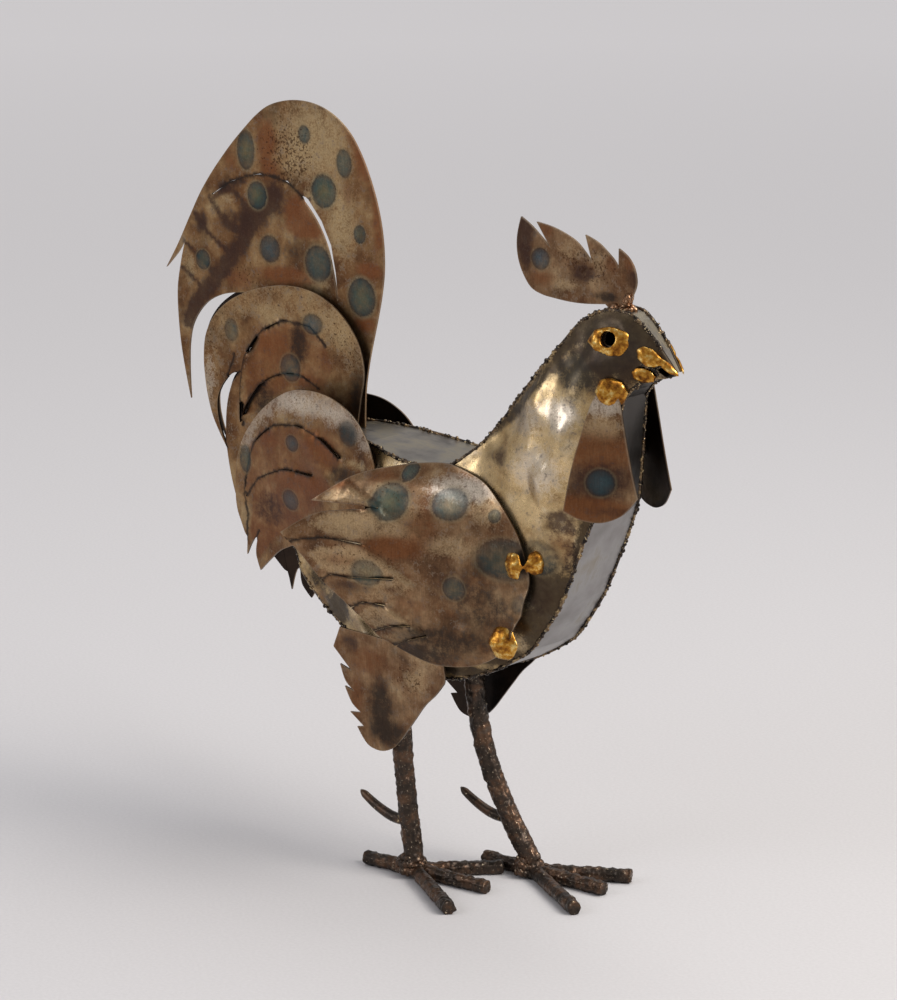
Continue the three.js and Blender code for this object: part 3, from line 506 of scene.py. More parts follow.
# %% [markdown]
# A few tools work on a flat drawing: which places are inside the rims, and how far each is from the
# nearest rim.

# %% Inside and near a rim
def inside(loops, spots):
    odd = np.zeros(len(spots), bool)
    for loop in loops:
        for (ax, az), (bx, bz) in zip(loop, np.roll(loop, -1, 0)):
            if az != bz:
                crosses = (az > spots[:, 1]) != (bz > spots[:, 1])
                odd ^= crosses & (spots[:, 0] < ax + (spots[:, 1] - az) * (bx - ax) / (bz - az))
    return odd


def line_distance(starts, ends, spots):
    """How far each place is from the nearest of some straight lines."""
    nearest = np.full(len(spots), 1e9)
    for start, end in zip(starts, ends):
        run = end - start
        along = np.clip(((spots - start) @ run) / (run @ run + 1e-12), 0, 1)
        nearest = np.minimum(nearest, np.linalg.norm(spots - start - along[:, None] * run, axis=1))
    return nearest


def rim_distance(loops, spots):
    return np.min([line_distance(loop, np.roll(loop, -1, 0), spots) for loop in loops], axis=0)


# %% [markdown]
# Every place on a sheet gets the strength of each tone there, from the patches, strokes and flats that
# reach it. The left sheets get a small random shift of every mark, because no two were tinted alike.

# %% Painting a sheet
LEFT_WANDER = 5.0
DISC_REACH = 3.0


def paint(design, spots, shift_seed=0):
    """How strong each tone is at places (x, z) in drawing millimetres."""
    moves = np.random.default_rng(shift_seed)
    wander = LEFT_WANDER if shift_seed else 0.0
    tones = {tone: np.zeros(len(spots)) for tone in ("rust", "straw_and_highlight", "plum", "smoke_and_shade", "pale_and_highlight", "speck")}

    def lay(tone, share):
        tones[tone] = 1 - (1 - tones[tone]) * (1 - share)

    for tone, x, z, wide, high, strength in tone_patches.get(design, []):
        x, z = np.array([x, z]) + moves.uniform(-wander, wander, 2)
        reach = np.hypot((spots[:, 0] - x) / wide, (spots[:, 1] - z) / high)
        lay(tone, strength * (1 - ease(reach, 0.3, 1.25)))
    for tone, places, wide, strength in tone_lines.get(design, []):
        reach = line_distance(np.array(places[:-1], float), np.array(places[1:], float), spots)
        lay(tone, strength * (1 - ease(reach / wide, 0.4, 1.4)))
    for tone, strength, corners in tone_flats.get(design, []):
        border = [np.array(corners, float)]
        depth = rim_distance(border, spots) * np.where(inside(border, spots), 1, -1)
        lay(tone, strength * ease(depth, -1.0, 1.4))
    nearest = np.full(len(spots), DISC_REACH)
    blue = np.zeros(len(spots))
    strong = np.zeros(len(spots))
    for x, z, wide, high, how_blue, how_strong in heat_discs.get(design, []):
        x, z = np.array([x, z]) + moves.uniform(-wander, wander, 2)
        reach = np.hypot((spots[:, 0] - x) / wide, (spots[:, 1] - z) / high)
        closer = reach < nearest
        nearest = np.where(closer, reach, nearest)
        blue = np.where(closer, how_blue, blue)
        strong = np.where(closer, how_strong, strong)
    return tones, np.stack([nearest / DISC_REACH, blue, strong], 1)


# %% [markdown]
# ## Sheets
# The solids of the sheets are faceted, and a real hammered sheet is smooth with soft waves. So each sheet
# is skinned anew: its rim is taken from the solid and softened between its corners, its face is filled
# with small even triangles, and the skin's depth is read from the solid by a ray, then smoothed. The skin
# gets its true thickness and a sharp cut rim.

# %% Reading a solid's outer face
SHEET_THICKNESS = 1.5
CORNER_ANGLE = math.radians(33)


def merged(node):
    """A node's corners, in drawing millimetres and each once, and its triangles."""
    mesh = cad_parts[node].data
    corners = corner_values(mesh) / MM - np.array([drawing_shift, 0, 0])
    faces = np.array([tuple(face.vertices) for face in mesh.polygons])
    _, first, where = np.unique(np.round(corners, 3), axis=0, return_index=True, return_inverse=True)
    return corners[first], where.reshape(-1)[faces]


def outer_face(node, side):
    """The triangles of a sheet that face away from the bird's middle."""
    corners, faces = merged(node)
    a, b, c = (corners[faces[:, k]] for k in range(3))
    normals = np.cross(b - a, c - a)
    normals /= np.linalg.norm(normals, axis=1)[:, None] + 1e-12
    return corners, faces[normals[:, 1] * side > 0.02]


def rim_loops(faces):
    edges = {(int(f[i]), int(f[(i + 1) % 3])) for f in faces for i in range(3)}
    following = {a: b for a, b in sorted(edges) if (b, a) not in edges}
    loops = []
    while following:
        start = next(iter(following))
        loop = [start]
        while loop[-1] in following:
            loop.append(following.pop(loop[-1]))
        loops.append(loop[:-1])
    return [loop for loop in loops if len(loop) > 2]


def soften(loop, step):
    """A closed rim redrawn as a smooth curve that stays sharp at its corners."""
    ahead = np.roll(loop, -1, 0) - loop
    length = np.linalg.norm(ahead, axis=1)
    ahead = ahead / length[:, None]
    behind = np.roll(ahead, 1, 0)
    blend = ahead * np.roll(length, 1)[:, None] + behind * length[:, None]
    blend /= np.linalg.norm(blend, axis=1)[:, None]
    corner = (ahead * behind).sum(1) < math.cos(CORNER_ANGLE)
    made = []
    for i in range(len(loop)):
        j = (i + 1) % len(loop)
        leave = (ahead[i] if corner[i] else blend[i]) * length[i]
        arrive = (ahead[i] if corner[j] else blend[j]) * length[i]
        for t in np.arange(0, 1, 1 / max(1, math.ceil(length[i] / step))):
            made.append(
                loop[i] * (1 + t * t * (2 * t - 3))
                + loop[j] * (t * t * (3 - 2 * t))
                + leave * (t * (1 - t) ** 2)
                + arrive * (t * t * (t - 1))
            )
    return np.array(made)


# %% [markdown]
# A sheet's depth comes from flat facets, so it is rubbed: every place moves towards the mean of its
# neighbours and then back a little further, which takes out the facets and keeps the broad bend.

# %% Rubbing and folding
def smoothed(depth, faces, held, rounds):
    """Rubs the facets out of a depth without shrinking its broad shape; held places stay."""
    edges = np.concatenate([faces[:, [0, 1]], faces[:, [1, 2]], faces[:, [2, 0]]])
    edges = np.unique(np.sort(edges, 1), axis=0)
    count = np.bincount(edges.ravel(), minlength=len(depth))
    for _ in range(rounds):
        for pull in (0.55, -0.57):
            total = np.bincount(edges[:, 0], depth[edges[:, 1]], len(depth))
            total += np.bincount(edges[:, 1], depth[edges[:, 0]], len(depth))
            depth = np.where(held, depth, depth + pull * (total / np.maximum(count, 1) - depth))
    return depth


# %% [markdown]
# Folds pressed into a sheet are drawn as lines. Each is a low ridge that falls off slowly on one side and
# at once on the other, and the triangles follow the line, so that it stays crisp.

# %% Folds
FOLD_HEIGHT = 3.4
FOLD_REACH = 15.0
FOLD_STEP = 1.2


def fold_relief(spots, folds):
    """How high the folds lift each place."""
    relief = np.zeros(len(spots))
    for start, end in folds:
        whole = np.linalg.norm(end - start)
        line = (end - start) / whole
        along = (spots - start) @ line
        off = (spots - start) @ np.array([-line[1], line[0]])
        window = ease(along, -3, 5) * (1 - ease(along, whole - 5, whole + 3))
        profile = np.where(off < 0, 1 + off / FOLD_REACH, 1 - off / FOLD_STEP)
        relief = np.maximum(relief, FOLD_HEIGHT * window * np.clip(profile, 0, 1))
    return relief

# %% [markdown]
# A torch cut is a thin line where its lips still meet, with painted shade along it. The solids need an
# open gap there, so the rim points of a narrow gap are moved together, all but a hair.

# %% Closing cuts
CUT_LEFT = 0.1


def close_cuts(curves, cut_width, open_below):
    """Moves the lips of narrow cuts together, and gives the places of the lips as well."""
    lips = np.concatenate(curves)
    flat = lips[:, [0, 2]]
    order = np.arange(len(flat))
    loop_of = np.concatenate([np.full(len(curve), k) for k, curve in enumerate(curves)])
    loop_size = np.array([len(curve) for curve in curves])[loop_of]
    apart = np.abs(order[:, None] - order[None, :])
    apart = np.minimum(apart, loop_size[:, None] - apart)
    far = (loop_of[:, None] != loop_of[None, :]) | (apart > 3)
    gaps = np.linalg.norm(flat[:, None] - flat[None, :], axis=2) + np.where(far, 0, 1e6)
    across = gaps.argmin(1)
    gap = gaps[order, across]
    shapes = [curve[:, [0, 2]] for curve in curves]
    open_air = ~inside(shapes, (flat + flat[across]) / 2)
    ahead = np.roll(flat, -1, 0) - np.roll(flat, 1, 0)
    ahead /= np.linalg.norm(ahead, axis=1)[:, None] + 1e-12
    way = flat[across] - flat
    way -= ahead * (way * ahead).sum(1)[:, None]
    wide = np.linalg.norm(way, axis=1)
    narrow = (wide < cut_width) & (gap < cut_width + 1.0) & open_air & (flat[:, 1] > open_below)
    share = np.where(narrow, np.clip((1 - CUT_LEFT / np.maximum(wide, 1e-6)) / 2, 0, 0.5), 0.0)
    way *= share[:, None]
    for _ in range(3):
        eased = (np.roll(way, 1, 0) + 2 * way + np.roll(way, -1, 0)) / 4
        way = np.where(narrow[:, None], eased, way)
    lips[:, [0, 2]] += way
    cut = (flat + way)[narrow]
    ends = np.cumsum([len(curve) for curve in curves])[:-1]
    return np.split(lips, ends), cut

# %% [markdown]
# The face of a sheet is filled with a grid of even triangles, which keeps clear of its rim and of its
# folds, so that both stay crisp.

# %% Filling a face
def fill(loops, folds, spacing):
    """Even triangles inside the rims, with the folds as edges, and the rim point of each place, or -1."""
    points = []
    edges = []
    for loop in loops:
        first = len(points)
        points.extend(loop)
        edges.extend((first + i, first + (i + 1) % len(loop)) for i in range(len(loop)))
    for start, end in folds:
        line = (end - start) / np.linalg.norm(end - start)
        steps = np.arange(0, np.linalg.norm(end - start), 1.5)
        for off in (0.0, FOLD_STEP):
            row = start + steps[:, None] * line + off * np.array([-line[1], line[0]])
            row = row[inside(loops, row) & (rim_distance(loops, row) > 0.8)]
            edges.extend((len(points) + i, len(points) + i + 1) for i in range(len(row) - 1))
            points.extend(row)
    rims = np.concatenate(loops)
    low, high = rims.min(0), rims.max(0)
    rows = enumerate(np.arange(low[1], high[1], spacing * 0.866))
    columns = np.arange(low[0], high[0], spacing)
    grid = np.array([(x + (k % 2) * spacing / 2, z) for k, z in rows for x in columns])
    grid = grid[inside(loops, grid)]
    grid = grid[rim_distance(loops, grid) > spacing * 0.45]
    for fold in folds:
        grid = grid[line_distance(fold[:1], fold[1:], grid) > 2.0]
    points.extend(grid)
    made = delaunay_2d_cdt([Vector(p) for p in points], edges, [], 0, 1e-5)
    spots = np.array([tuple(p) for p in made[0]])
    faces = np.array([tuple(f) for f in made[2]])
    faces = faces[inside(loops, spots[faces].mean(1))]
    a, b, c = (spots[faces[:, k]] for k in range(3))
    area = (b - a)[:, 0] * (c - a)[:, 1] - (b - a)[:, 1] * (c - a)[:, 0]
    real = np.abs(area) > 1e-4
    faces, area = faces[real], area[real]
    faces[area < 0] = faces[area < 0][:, ::-1]
    on_rim = np.array([next((i for i in sources if i < len(rims)), -1) for sources in made[3]])
    used = np.unique(faces)
    renumber = np.full(len(spots), -1)
    renumber[used] = np.arange(len(used))
    return spots[used], renumber[faces], on_rim[used]

# %% [markdown]
# A place on the rim has the rim's depth. Any other is looked up on the solid, from outside. The marks are
# stored on the sheet's corners, the same on both sides, for the steel to read.

# %% Depth and marks
RAY_START = 400


def read_depth(solid, spots, on_rim, rim, side):
    """How far out each place of a sheet is."""
    depth = np.empty(len(spots))
    for i, (x, z) in enumerate(spots):
        hit = solid.ray_cast(Vector((x, side * RAY_START, z)), Vector((0, -side, 0)))[0]
        at_rim = on_rim[i]
        if at_rim < 0 and hit is None:
            at_rim = int(np.argmin(np.linalg.norm(rim[:, [0, 2]] - spots[i], axis=1)))
        depth[i] = rim[at_rim, 1] * side if at_rim >= 0 else hit.y * side
    return depth


def lay_marks(mesh, tones, heat, rubbed, back):
    """Stores the marks of a sheet. back is 1 where its inner side gets soot and painted shade."""
    side_marks = np.stack([np.minimum(rubbed, 1), np.zeros(len(rubbed)), np.zeros(len(rubbed))], 1)
    side_marks = np.concatenate([side_marks, side_marks + np.array([0, back, 0])])
    warm = np.stack([tones["rust"], tones["straw_and_highlight"], tones["plum"]], 1)
    cool = np.stack([tones["smoke_and_shade"], tones["pale_and_highlight"], tones["speck"]], 1)
    marks = {"warm_tones": np.tile(warm, (2, 1)), "cool_tones": np.tile(cool, (2, 1))}
    marks.update(disc_marks=np.tile(heat, (2, 1)), sheet_side=side_marks)
    for label, values in marks.items():
        layer = mesh.attributes.new(label, "FLOAT_COLOR", "POINT")
        values = np.concatenate([values, np.ones((len(values), 1))], 1)
        layer.data.foreach_set("color", values.astype(np.float32).ravel())

# %% Skinning a sheet
CALM_SHARE = 0.25
NOISE_PLANE = 50.0
WORN_AND_GLINTING_RIM = 10
LIP = 3.0


def skin(
    name, node, spacing, dents, folds=(), two_faced=False, seed=0, unshift=None,
    rounds=30, cut_width=0.0, open_below=-1e6, calm=None,
):
    """The smooth, dented and tinted sheet that stands for a faceted node.

    Cuts narrower than cut_width are closed above the height open_below. unshift takes places on a sheet
    back to where its design was drawn. calm is a circle (x, z, radius) with shallower dents."""
    side = 1 if node.endswith("_left") else -1
    design = node.removesuffix("_left").removesuffix("_right")
    folds = [np.array(fold, float) for fold in folds]
    corners, face_set = outer_face(node, side)
    curves = [soften(corners[loop], spacing * 0.7) for loop in rim_loops(face_set)]
    curves, cut = close_cuts(curves, cut_width, open_below)
    rims = [curve[:, [0, 2]] for curve in curves]
    spots, faces, on_rim = fill(rims, folds, spacing)
    count = len(spots)
    near_rim = rim_distance(rims, spots)

    # Depth: read, rubbed, dented and folded
    solid = BVHTree.FromPolygons([tuple(p) for p in corners], [tuple(map(int, f)) for f in face_set])
    depth = read_depth(solid, spots, on_rim, np.concatenate(curves), side)
    depth = smoothed(depth, faces, on_rim >= 0, rounds)
    flat = np.stack([spots[:, 0], np.full(count, side * NOISE_PLANE), spots[:, 1]], 1)
    lively = np.ones(count)
    if calm is not None:
        away = np.linalg.norm(spots - np.array(calm[:2]), axis=1) / calm[2]
        lively = CALM_SHARE + (1 - CALM_SHARE) * ease(away, 0.85, 1.15)
    for size, height, k in dents:
        depth += height * lively * soft_noise(flat, size, k + seed) * ease(near_rim, 0, size * 0.6)
    folded = fold_relief(spots, folds) * ease(near_rim, 0, 2)
    depth += folded

    # Both sides, and the cut rim between them with sharp edges
    outer = np.stack([spots[:, 0], depth * side, spots[:, 1]], 1)
    inner = outer - np.array([0, SHEET_THICKNESS * side, 0])
    facing = faces[:, ::-1] if side > 0 else faces
    steps = [(a, b) for loop in rim_loops(facing) for a, b in zip(loop, loop[1:] + loop[:1])]
    both_sides = np.concatenate([facing, facing[:, ::-1] + count]).tolist()
    rim_faces = [(b, a, a + count, b + count) for a, b in steps]
    piece = new_piece(name, np.concatenate([outer, inner]), both_sides + rim_faces)
    sharp = {tuple(sorted((a + k, b + k))) for a, b in steps for k in (0, count)}
    edges = [tuple(sorted(edge.vertices)) in sharp for edge in piece.data.edges]
    piece.data.edges.foreach_set("use_edge_sharp", edges)

    # Marks: the drawn ones, a painted straw highlight on the folds and painted shade along closed cuts
    tones, heat = paint(design, spots if unshift is None else unshift(spots), seed)
    # Painted highlight: straw on the fold ridges, and less plum there.
    lit = np.clip(folded / FOLD_HEIGHT, 0, 1) ** 0.5
    tones["straw_and_highlight"] = np.maximum(tones["straw_and_highlight"], 0.45 * lit)
    tones["plum"] = tones["plum"] * (1 - 0.8 * lit)
    # Lighter near the rim, as wear and as a painted highlight along the cut edge.
    rubbed = near_rim / WORN_AND_GLINTING_RIM
    if len(cut):
        # Painted shade along each closed cut, in smoke, with no lightened rim beside it.
        near_cut = np.array([np.linalg.norm(cut - spot, axis=1).min() for spot in spots])
        tones["smoke_and_shade"] = np.maximum(tones["smoke_and_shade"], 0.75 * (1 - ease(near_cut, 0.2, 1.5)))
        rubbed = np.where(near_cut < LIP, 1.0, rubbed)
    lay_marks(piece.data, tones, heat, rubbed, 0.0 if two_faced else 1.0)
    return piece

# %% [markdown]
# ## Torch-tinted sheet steel
# The sheet is mild steel, coloured by heat and then waxed. It is a metal under a thin oxide, so its
# colour tints what it mirrors, and it stays satin rather than bright. Four layers make it: a cloudy khaki
# and brown ground, the drawn tones with their edges broken up, painted highlights and painted shade
# among them, the heat discs with their pale rings, and dark specks of scale.

# %% The tinted sheet material
GREEN_DISC = [
    (0.0, "#686744"), (0.22, "#4E5C4A"), (0.38, "#384F4C"),
    (0.47, "#2D3B3A"), (0.52, "#8E8468"), (0.6, "#80694A"),
]
BLUE_DISC = [
    (0.0, "#3A5563"), (0.25, "#344953"), (0.4, "#2E3C42"),
    (0.48, "#332F2D"), (0.54, "#766850"), (0.62, "#6B553C"),
]


def torch_tinted_steel(name, ground, straw_and_highlight_tone, rust, burnt, satin, wave, brushed):
    """burnt is its clouds of brown, satin its roughness, wave its bumps and brushed its scratches."""
    material, tree, shader, place = new_material(name, Metallic=0.88)
    cloud = add(tree, "ShaderNodeTexNoise", grain(place, 26, 6.0, 0.62))
    mottle = add(tree, "ShaderNodeTexNoise", grain(place, 6, 5.0, 0.65))
    fine = add(tree, "ShaderNodeTexNoise", grain(place, 1.3, 3.0, 0.7))
    surface = add(tree, "ShaderNodeValToRGB", {"Fac": cloud}, ground)

    # What the sheet's corners hold, in the order that the skin stored it
    marks = []
    for label in ("warm_tones", "cool_tones", "disc_marks", "sheet_side"):
        painted = add(tree, "ShaderNodeAttribute", attribute_name=label).outputs["Color"]
        marks.extend(add(tree, "ShaderNodeSeparateColor", {"Color": painted}).outputs)
    rusty, straw_and_highlight_share, plummy, smoke_and_shade_share, pale_and_highlight_share, speckled, near, blue, strength, off_worn_glinting_rim, darkened_share, _ = marks
    grainy = add(tree, "ShaderNodeMath", {0: fine, 1: 0.7, 2: mottle}, operation="MULTIPLY_ADD")
    uneven = add(tree, "ShaderNodeMath", {0: grainy, 1: -0.85}, operation="ADD")

    # Clouds of rust brown and of dark oxide, which no one drew
    for size, tone in ((17, "#6A4226"), (31, "#33271F")):
        drift = add(tree, "ShaderNodeTexNoise", {**grain(place, size, 5.0, 0.66), "Distortion": 0.4})
        share = add(tree, "ShaderNodeMapRange", {"Value": drift, **span(0.5, 0.68, 0.0, burnt)})
        surface = {"Factor": share, "A": surface, "B": colour(tone)}
        surface = add(tree, "ShaderNodeMix", surface, data_type="RGBA")

    # The drawn tones, each ragged where it is weak; among them painted highlights in straw and pale, and
    # painted shade in smoke
    tones = (
        (straw_and_highlight_tone, straw_and_highlight_share, 0.85),
        ("#D8CBB8", pale_and_highlight_share, 0.85),
        (rust, rusty, 0.78),
        ("#3F2B25", plummy, 0.85),
        ("#2D2520", smoke_and_shade_share, 0.88),
    )
    for tone, drawn, most in tones:
        ragged = add(tree, "ShaderNodeMath", {0: uneven, 1: 1.25, 2: drawn}, operation="MULTIPLY_ADD")
        share = add(tree, "ShaderNodeMapRange", {"Value": ragged, **span(0.08, 0.68, 0.0, most)})
        surface = {"Factor": share, "A": surface, "B": colour(tone)}
        surface = add(tree, "ShaderNodeMix", surface, data_type="RGBA")

    # The heat discs: a coloured middle, a dark edge and a thin pale ring
    reach = add(tree, "ShaderNodeMath", {0: near, 1: 1.5}, operation="MULTIPLY")
    reach = add(tree, "ShaderNodeMath", {0: uneven, 1: 0.11, 2: reach}, operation="MULTIPLY_ADD")
    green = add(tree, "ShaderNodeValToRGB", {"Fac": reach}, GREEN_DISC)
    bluish = add(tree, "ShaderNodeValToRGB", {"Fac": reach}, BLUE_DISC)
    disc = add(tree, "ShaderNodeMix", {"Factor": blue, "A": green, "B": bluish}, data_type="RGBA")
    share = add(tree, "ShaderNodeMapRange", {"Value": reach, **span(0.62, 0.46)})
    patchy = add(tree, "ShaderNodeMapRange", {"Value": mottle, **span(0.3, 0.7, 0.6)})
    patchy = add(tree, "ShaderNodeMath", {0: patchy, 1: strength}, operation="MULTIPLY")
    share = add(tree, "ShaderNodeMath", {0: share, 1: patchy}, operation="MULTIPLY")
    surface = add(tree, "ShaderNodeMix", {"Factor": share, "A": surface, "B": disc}, data_type="RGBA")

    # Specks of mill scale, thicker where the drawing says so
    flecks = add(tree, "ShaderNodeTexNoise", grain(place, 1.9, 2.0))
    limit = add(tree, "ShaderNodeMath", {0: speckled, 1: -0.19, 2: 0.75}, operation="MULTIPLY_ADD")
    flecks = add(tree, "ShaderNodeMath", {0: flecks, 1: limit}, operation="SUBTRACT")
    flecks = add(tree, "ShaderNodeMapRange", {"Value": flecks, **span(0.0, 0.05, 0.0, 0.75)})
    surface = {"Factor": flecks, "A": surface, "B": colour("#3E2413")}
    surface = add(tree, "ShaderNodeMix", surface, data_type="RGBA")

    # Fine strokes of the wire brush, and a grain as fine as the steel's own
    stretched = add(tree, "ShaderNodeMapping", {"Vector": place, "Scale": (1.0, 1.0, 0.06)})
    strokes = add(tree, "ShaderNodeTexNoise", grain(stretched, 0.9, 3.0))
    strokes = {"Value": strokes, **span(0.3, 0.7, 1 - brushed, 1 + brushed)}
    strokes = add(tree, "ShaderNodeMapRange", strokes)
    speckle = add(tree, "ShaderNodeMapRange", {"Value": fine, **span(0.3, 0.7, 0.84, 1.16)})
    worn = add(tree, "ShaderNodeMath", {0: strokes, 1: speckle}, operation="MULTIPLY")
    worn = {"Factor": 1.0, "A": surface, "B": worn}
    surface = add(tree, "ShaderNodeMix", worn, data_type="RGBA", blend_type="MULTIPLY")

    # A rubbed rim, lighter both as wear and as a painted highlight along the cut edge, and soot with painted
    # shade on the side that faces the body
    rubbed = add(tree, "ShaderNodeMapRange", {"Value": off_worn_glinting_rim, **span(0.09, 0.01, 0.0, 0.35)})
    surface = {"Factor": rubbed, "A": surface, "B": colour("#A08F78")}
    surface = add(tree, "ShaderNodeMix", surface, data_type="RGBA")
    # Soot and painted shade on the inner side of the paired sheets.
    soot_and_painted_shade = add(tree, "ShaderNodeValToRGB", {"Fac": cloud}, [(0.35, "#1B1512"), (0.65, "#33271F")])
    surface = add(tree, "ShaderNodeMix", {"Factor": darkened_share, "A": surface, "B": soot_and_painted_shade}, data_type="RGBA")

    rough = {"Value": mottle, **span(0.3, 0.7, satin - 0.05, satin + 0.09)}
    rough = add(tree, "ShaderNodeMapRange", rough)
    rough = add(tree, "ShaderNodeMath", {0: smoke_and_shade_share, 1: 0.08, 2: rough}, operation="MULTIPLY_ADD")
    height = add(tree, "ShaderNodeMath", {0: mottle, 1: 3.0, 2: fine}, operation="MULTIPLY_ADD")
    bump = add(tree, "ShaderNodeBump", {"Height": height, "Strength": wave, "Distance": 0.15 * MM})
    plug(tree, shader, {"Base Color": surface, "Roughness": rough, "Normal": bump})
    return material


tail_ground = [(0.30, "#553823"), (0.44, "#7B5838"), (0.56, "#96754F"), (0.70, "#AE936B")]
wing_ground = [(0.30, "#493324"), (0.44, "#705239"), (0.58, "#917354"), (0.72, "#B09672")]
body_ground = [(0.30, "#866642"), (0.44, "#B79A6C"), (0.58, "#D3B88A"), (0.72, "#E8D9BC")]
tail_looks = ("#BBA278", "#7D4A2A", 0.55, 0.40, 0.3, 0.06)
wing_looks = ("#B89D76", "#77492A", 0.48, 0.33, 0.3, 0.12)
body_looks = ("#DABD8C", "#6E4629", 0.3, 0.27, 0.45, 0.04)
tail_steel = torch_tinted_steel("waxed_tail_sheet", tail_ground, *tail_looks)
wing_steel = torch_tinted_steel("waxed_wing_sheet", wing_ground, *wing_looks)
body_steel = torch_tinted_steel("hammered_body_sheet", body_ground, *body_looks)
print("sheet materials", tail_steel.name, wing_steel.name, body_steel.name)

# %% [markdown]
# ## The tail, wings and small sheets
# Each sheet stands for its node. The left ones are marked a little differently, because no two torch
# marks are the same. The sheets that come in pairs are dark on the side that faces the body: unpolished,
# sooty and painted with shade.

# %% Handing a sheet over
def finish_sheet(piece, node, steel, slot):
    piece.data.materials.append(steel)
    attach(piece, "root")
    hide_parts(node)
    print(piece.name, "triangles", sum(len(p.vertices) - 2 for p in piece.data.polygons))


def lay_sheet(name, node, steel, slot, spacing, dents, **shape):
    finish_sheet(skin(name, node, spacing, dents, **shape), node, steel, slot)


def move_back(x, z):
    return lambda spots: spots + np.array([x, z])


# %% Tail sheets
LEFT_SIDE_TAIL_TURN = math.radians(17)
LEFT_SIDE_TAIL_MOVE = np.array([30.0, 15.0])
TAIL_ROOT = np.array([-120.0, 316.0])


def unturn_left_side_tail(spots):
    """The left side sheet is the right one turned about the tail root, so its marks are turned back."""
    x, z = (spots - TAIL_ROOT + LEFT_SIDE_TAIL_MOVE).T
    cos, sin = math.cos(LEFT_SIDE_TAIL_TURN), math.sin(LEFT_SIDE_TAIL_TURN)
    return TAIL_ROOT + np.stack([cos * x + sin * z, cos * z - sin * x], 1)


TAIL_WAVES = [(60, 1.0, 3), (25, 0.25, 5)]
tail = {"steel": tail_steel, "slot": "tinted_sheet", "dents": TAIL_WAVES}
paired_tail = {**tail, "spacing": 2.6, "cut_width": 3.0}
lay_sheet("top_tail_sheet", "tail_top", **tail, spacing=3.0, two_faced=True, cut_width=3.8, open_below=474)
lay_sheet("mid_tail_sheet_right", "tail_mid_right", **paired_tail)
lay_sheet("mid_tail_sheet_left", "tail_mid_left", **paired_tail, seed=11, unshift=move_back(13, 0))
lay_sheet("side_tail_sheet_right", "tail_side_right", **paired_tail)
paired_tail["slot"] = "dark_sheet"
lay_sheet("side_tail_sheet_left", "tail_side_left", **paired_tail, seed=12, unshift=unturn_left_side_tail)

# %% [markdown]
# A wing is one sheet cut into feathers from the rear. Each feather was bent up along a short fold that
# runs from the end of its cut, and the folds catch the light as pale triangles, painted on as straw
# highlights.

# %% Wings
WING_FOLDS = [
    ((-52, 296), (-27, 284)), ((-22, 281), (4, 268)),
    ((-34, 254), (2, 230)), ((-19, 214), (8, 193)),
]
WING_WAVES = [(34, 1.2, 21), (14, 0.3, 23)]
wing = {"spacing": 2.4, "dents": WING_WAVES, "folds": WING_FOLDS, "cut_width": 2.2}
for label, seed in (("right", 0), ("left", 13)):
    name = f"feathered_wing_{label}"
    lay_sheet(name, f"wing_{label}", wing_steel, "tinted_sheet", **wing, seed=seed)

# %% Comb, wattles and thigh plates
lay_sheet("notched_comb", "comb", wing_steel, "tinted_sheet", 2.0, [(30, 0.6, 31)], two_faced=True)
for label, seed in (("right", 0), ("left", 14)):
    name = f"hanging_wattle_{label}"
    lay_sheet(name, f"wattle_{label}", wing_steel, "tinted_sheet", 2.0, [(30, 0.8, 33)], seed=seed)
lay_sheet("thigh_plate_right", "thigh_right", wing_steel, "tinted_sheet", 2.4, [(35, 1.0, 35)])
far_thigh = {"dents": [(35, 1.0, 36)], "seed": 15, "unshift": move_back(-26, -14)}
lay_sheet("thigh_plate_left", "thigh_left", wing_steel, "dark_sheet", 2.4, **far_thigh)

# %% [markdown]
# ## The body
# The flanks were dished with a round hammer before welding. The blows overlap, so the sheet has soft
# hollows about as wide as a thumb, deepest on the neck and breast. They fade out at the rim, where the
# weld holds the edge straight.

# %% Flanks
FLANK_WAVES = [(33, 3.0, 41), (16, 2.5, 42), (9, 0.9, 43)]
UNDER_WING = (27.0, 247.0, 72.0)
flank = {"spacing": 2.6, "dents": FLANK_WAVES, "rounds": 45, "calm": UNDER_WING}
for label, seed in (("right", 0), ("left", 16)):
    name = f"hammered_flank_{label}"
    lay_sheet(name, f"flank_{label}", body_steel, "tinted_sheet", **flank, seed=seed)

# %% [markdown]
# ## Rods, brass and weld
# The rest is metal that was once liquid. Its shapes are rounded and lumpy, so the faceted solids are
# remade as one fine even skin, rubbed smooth, and pushed in and out by soft noise of a few sizes. Feet
# stay on the floor.

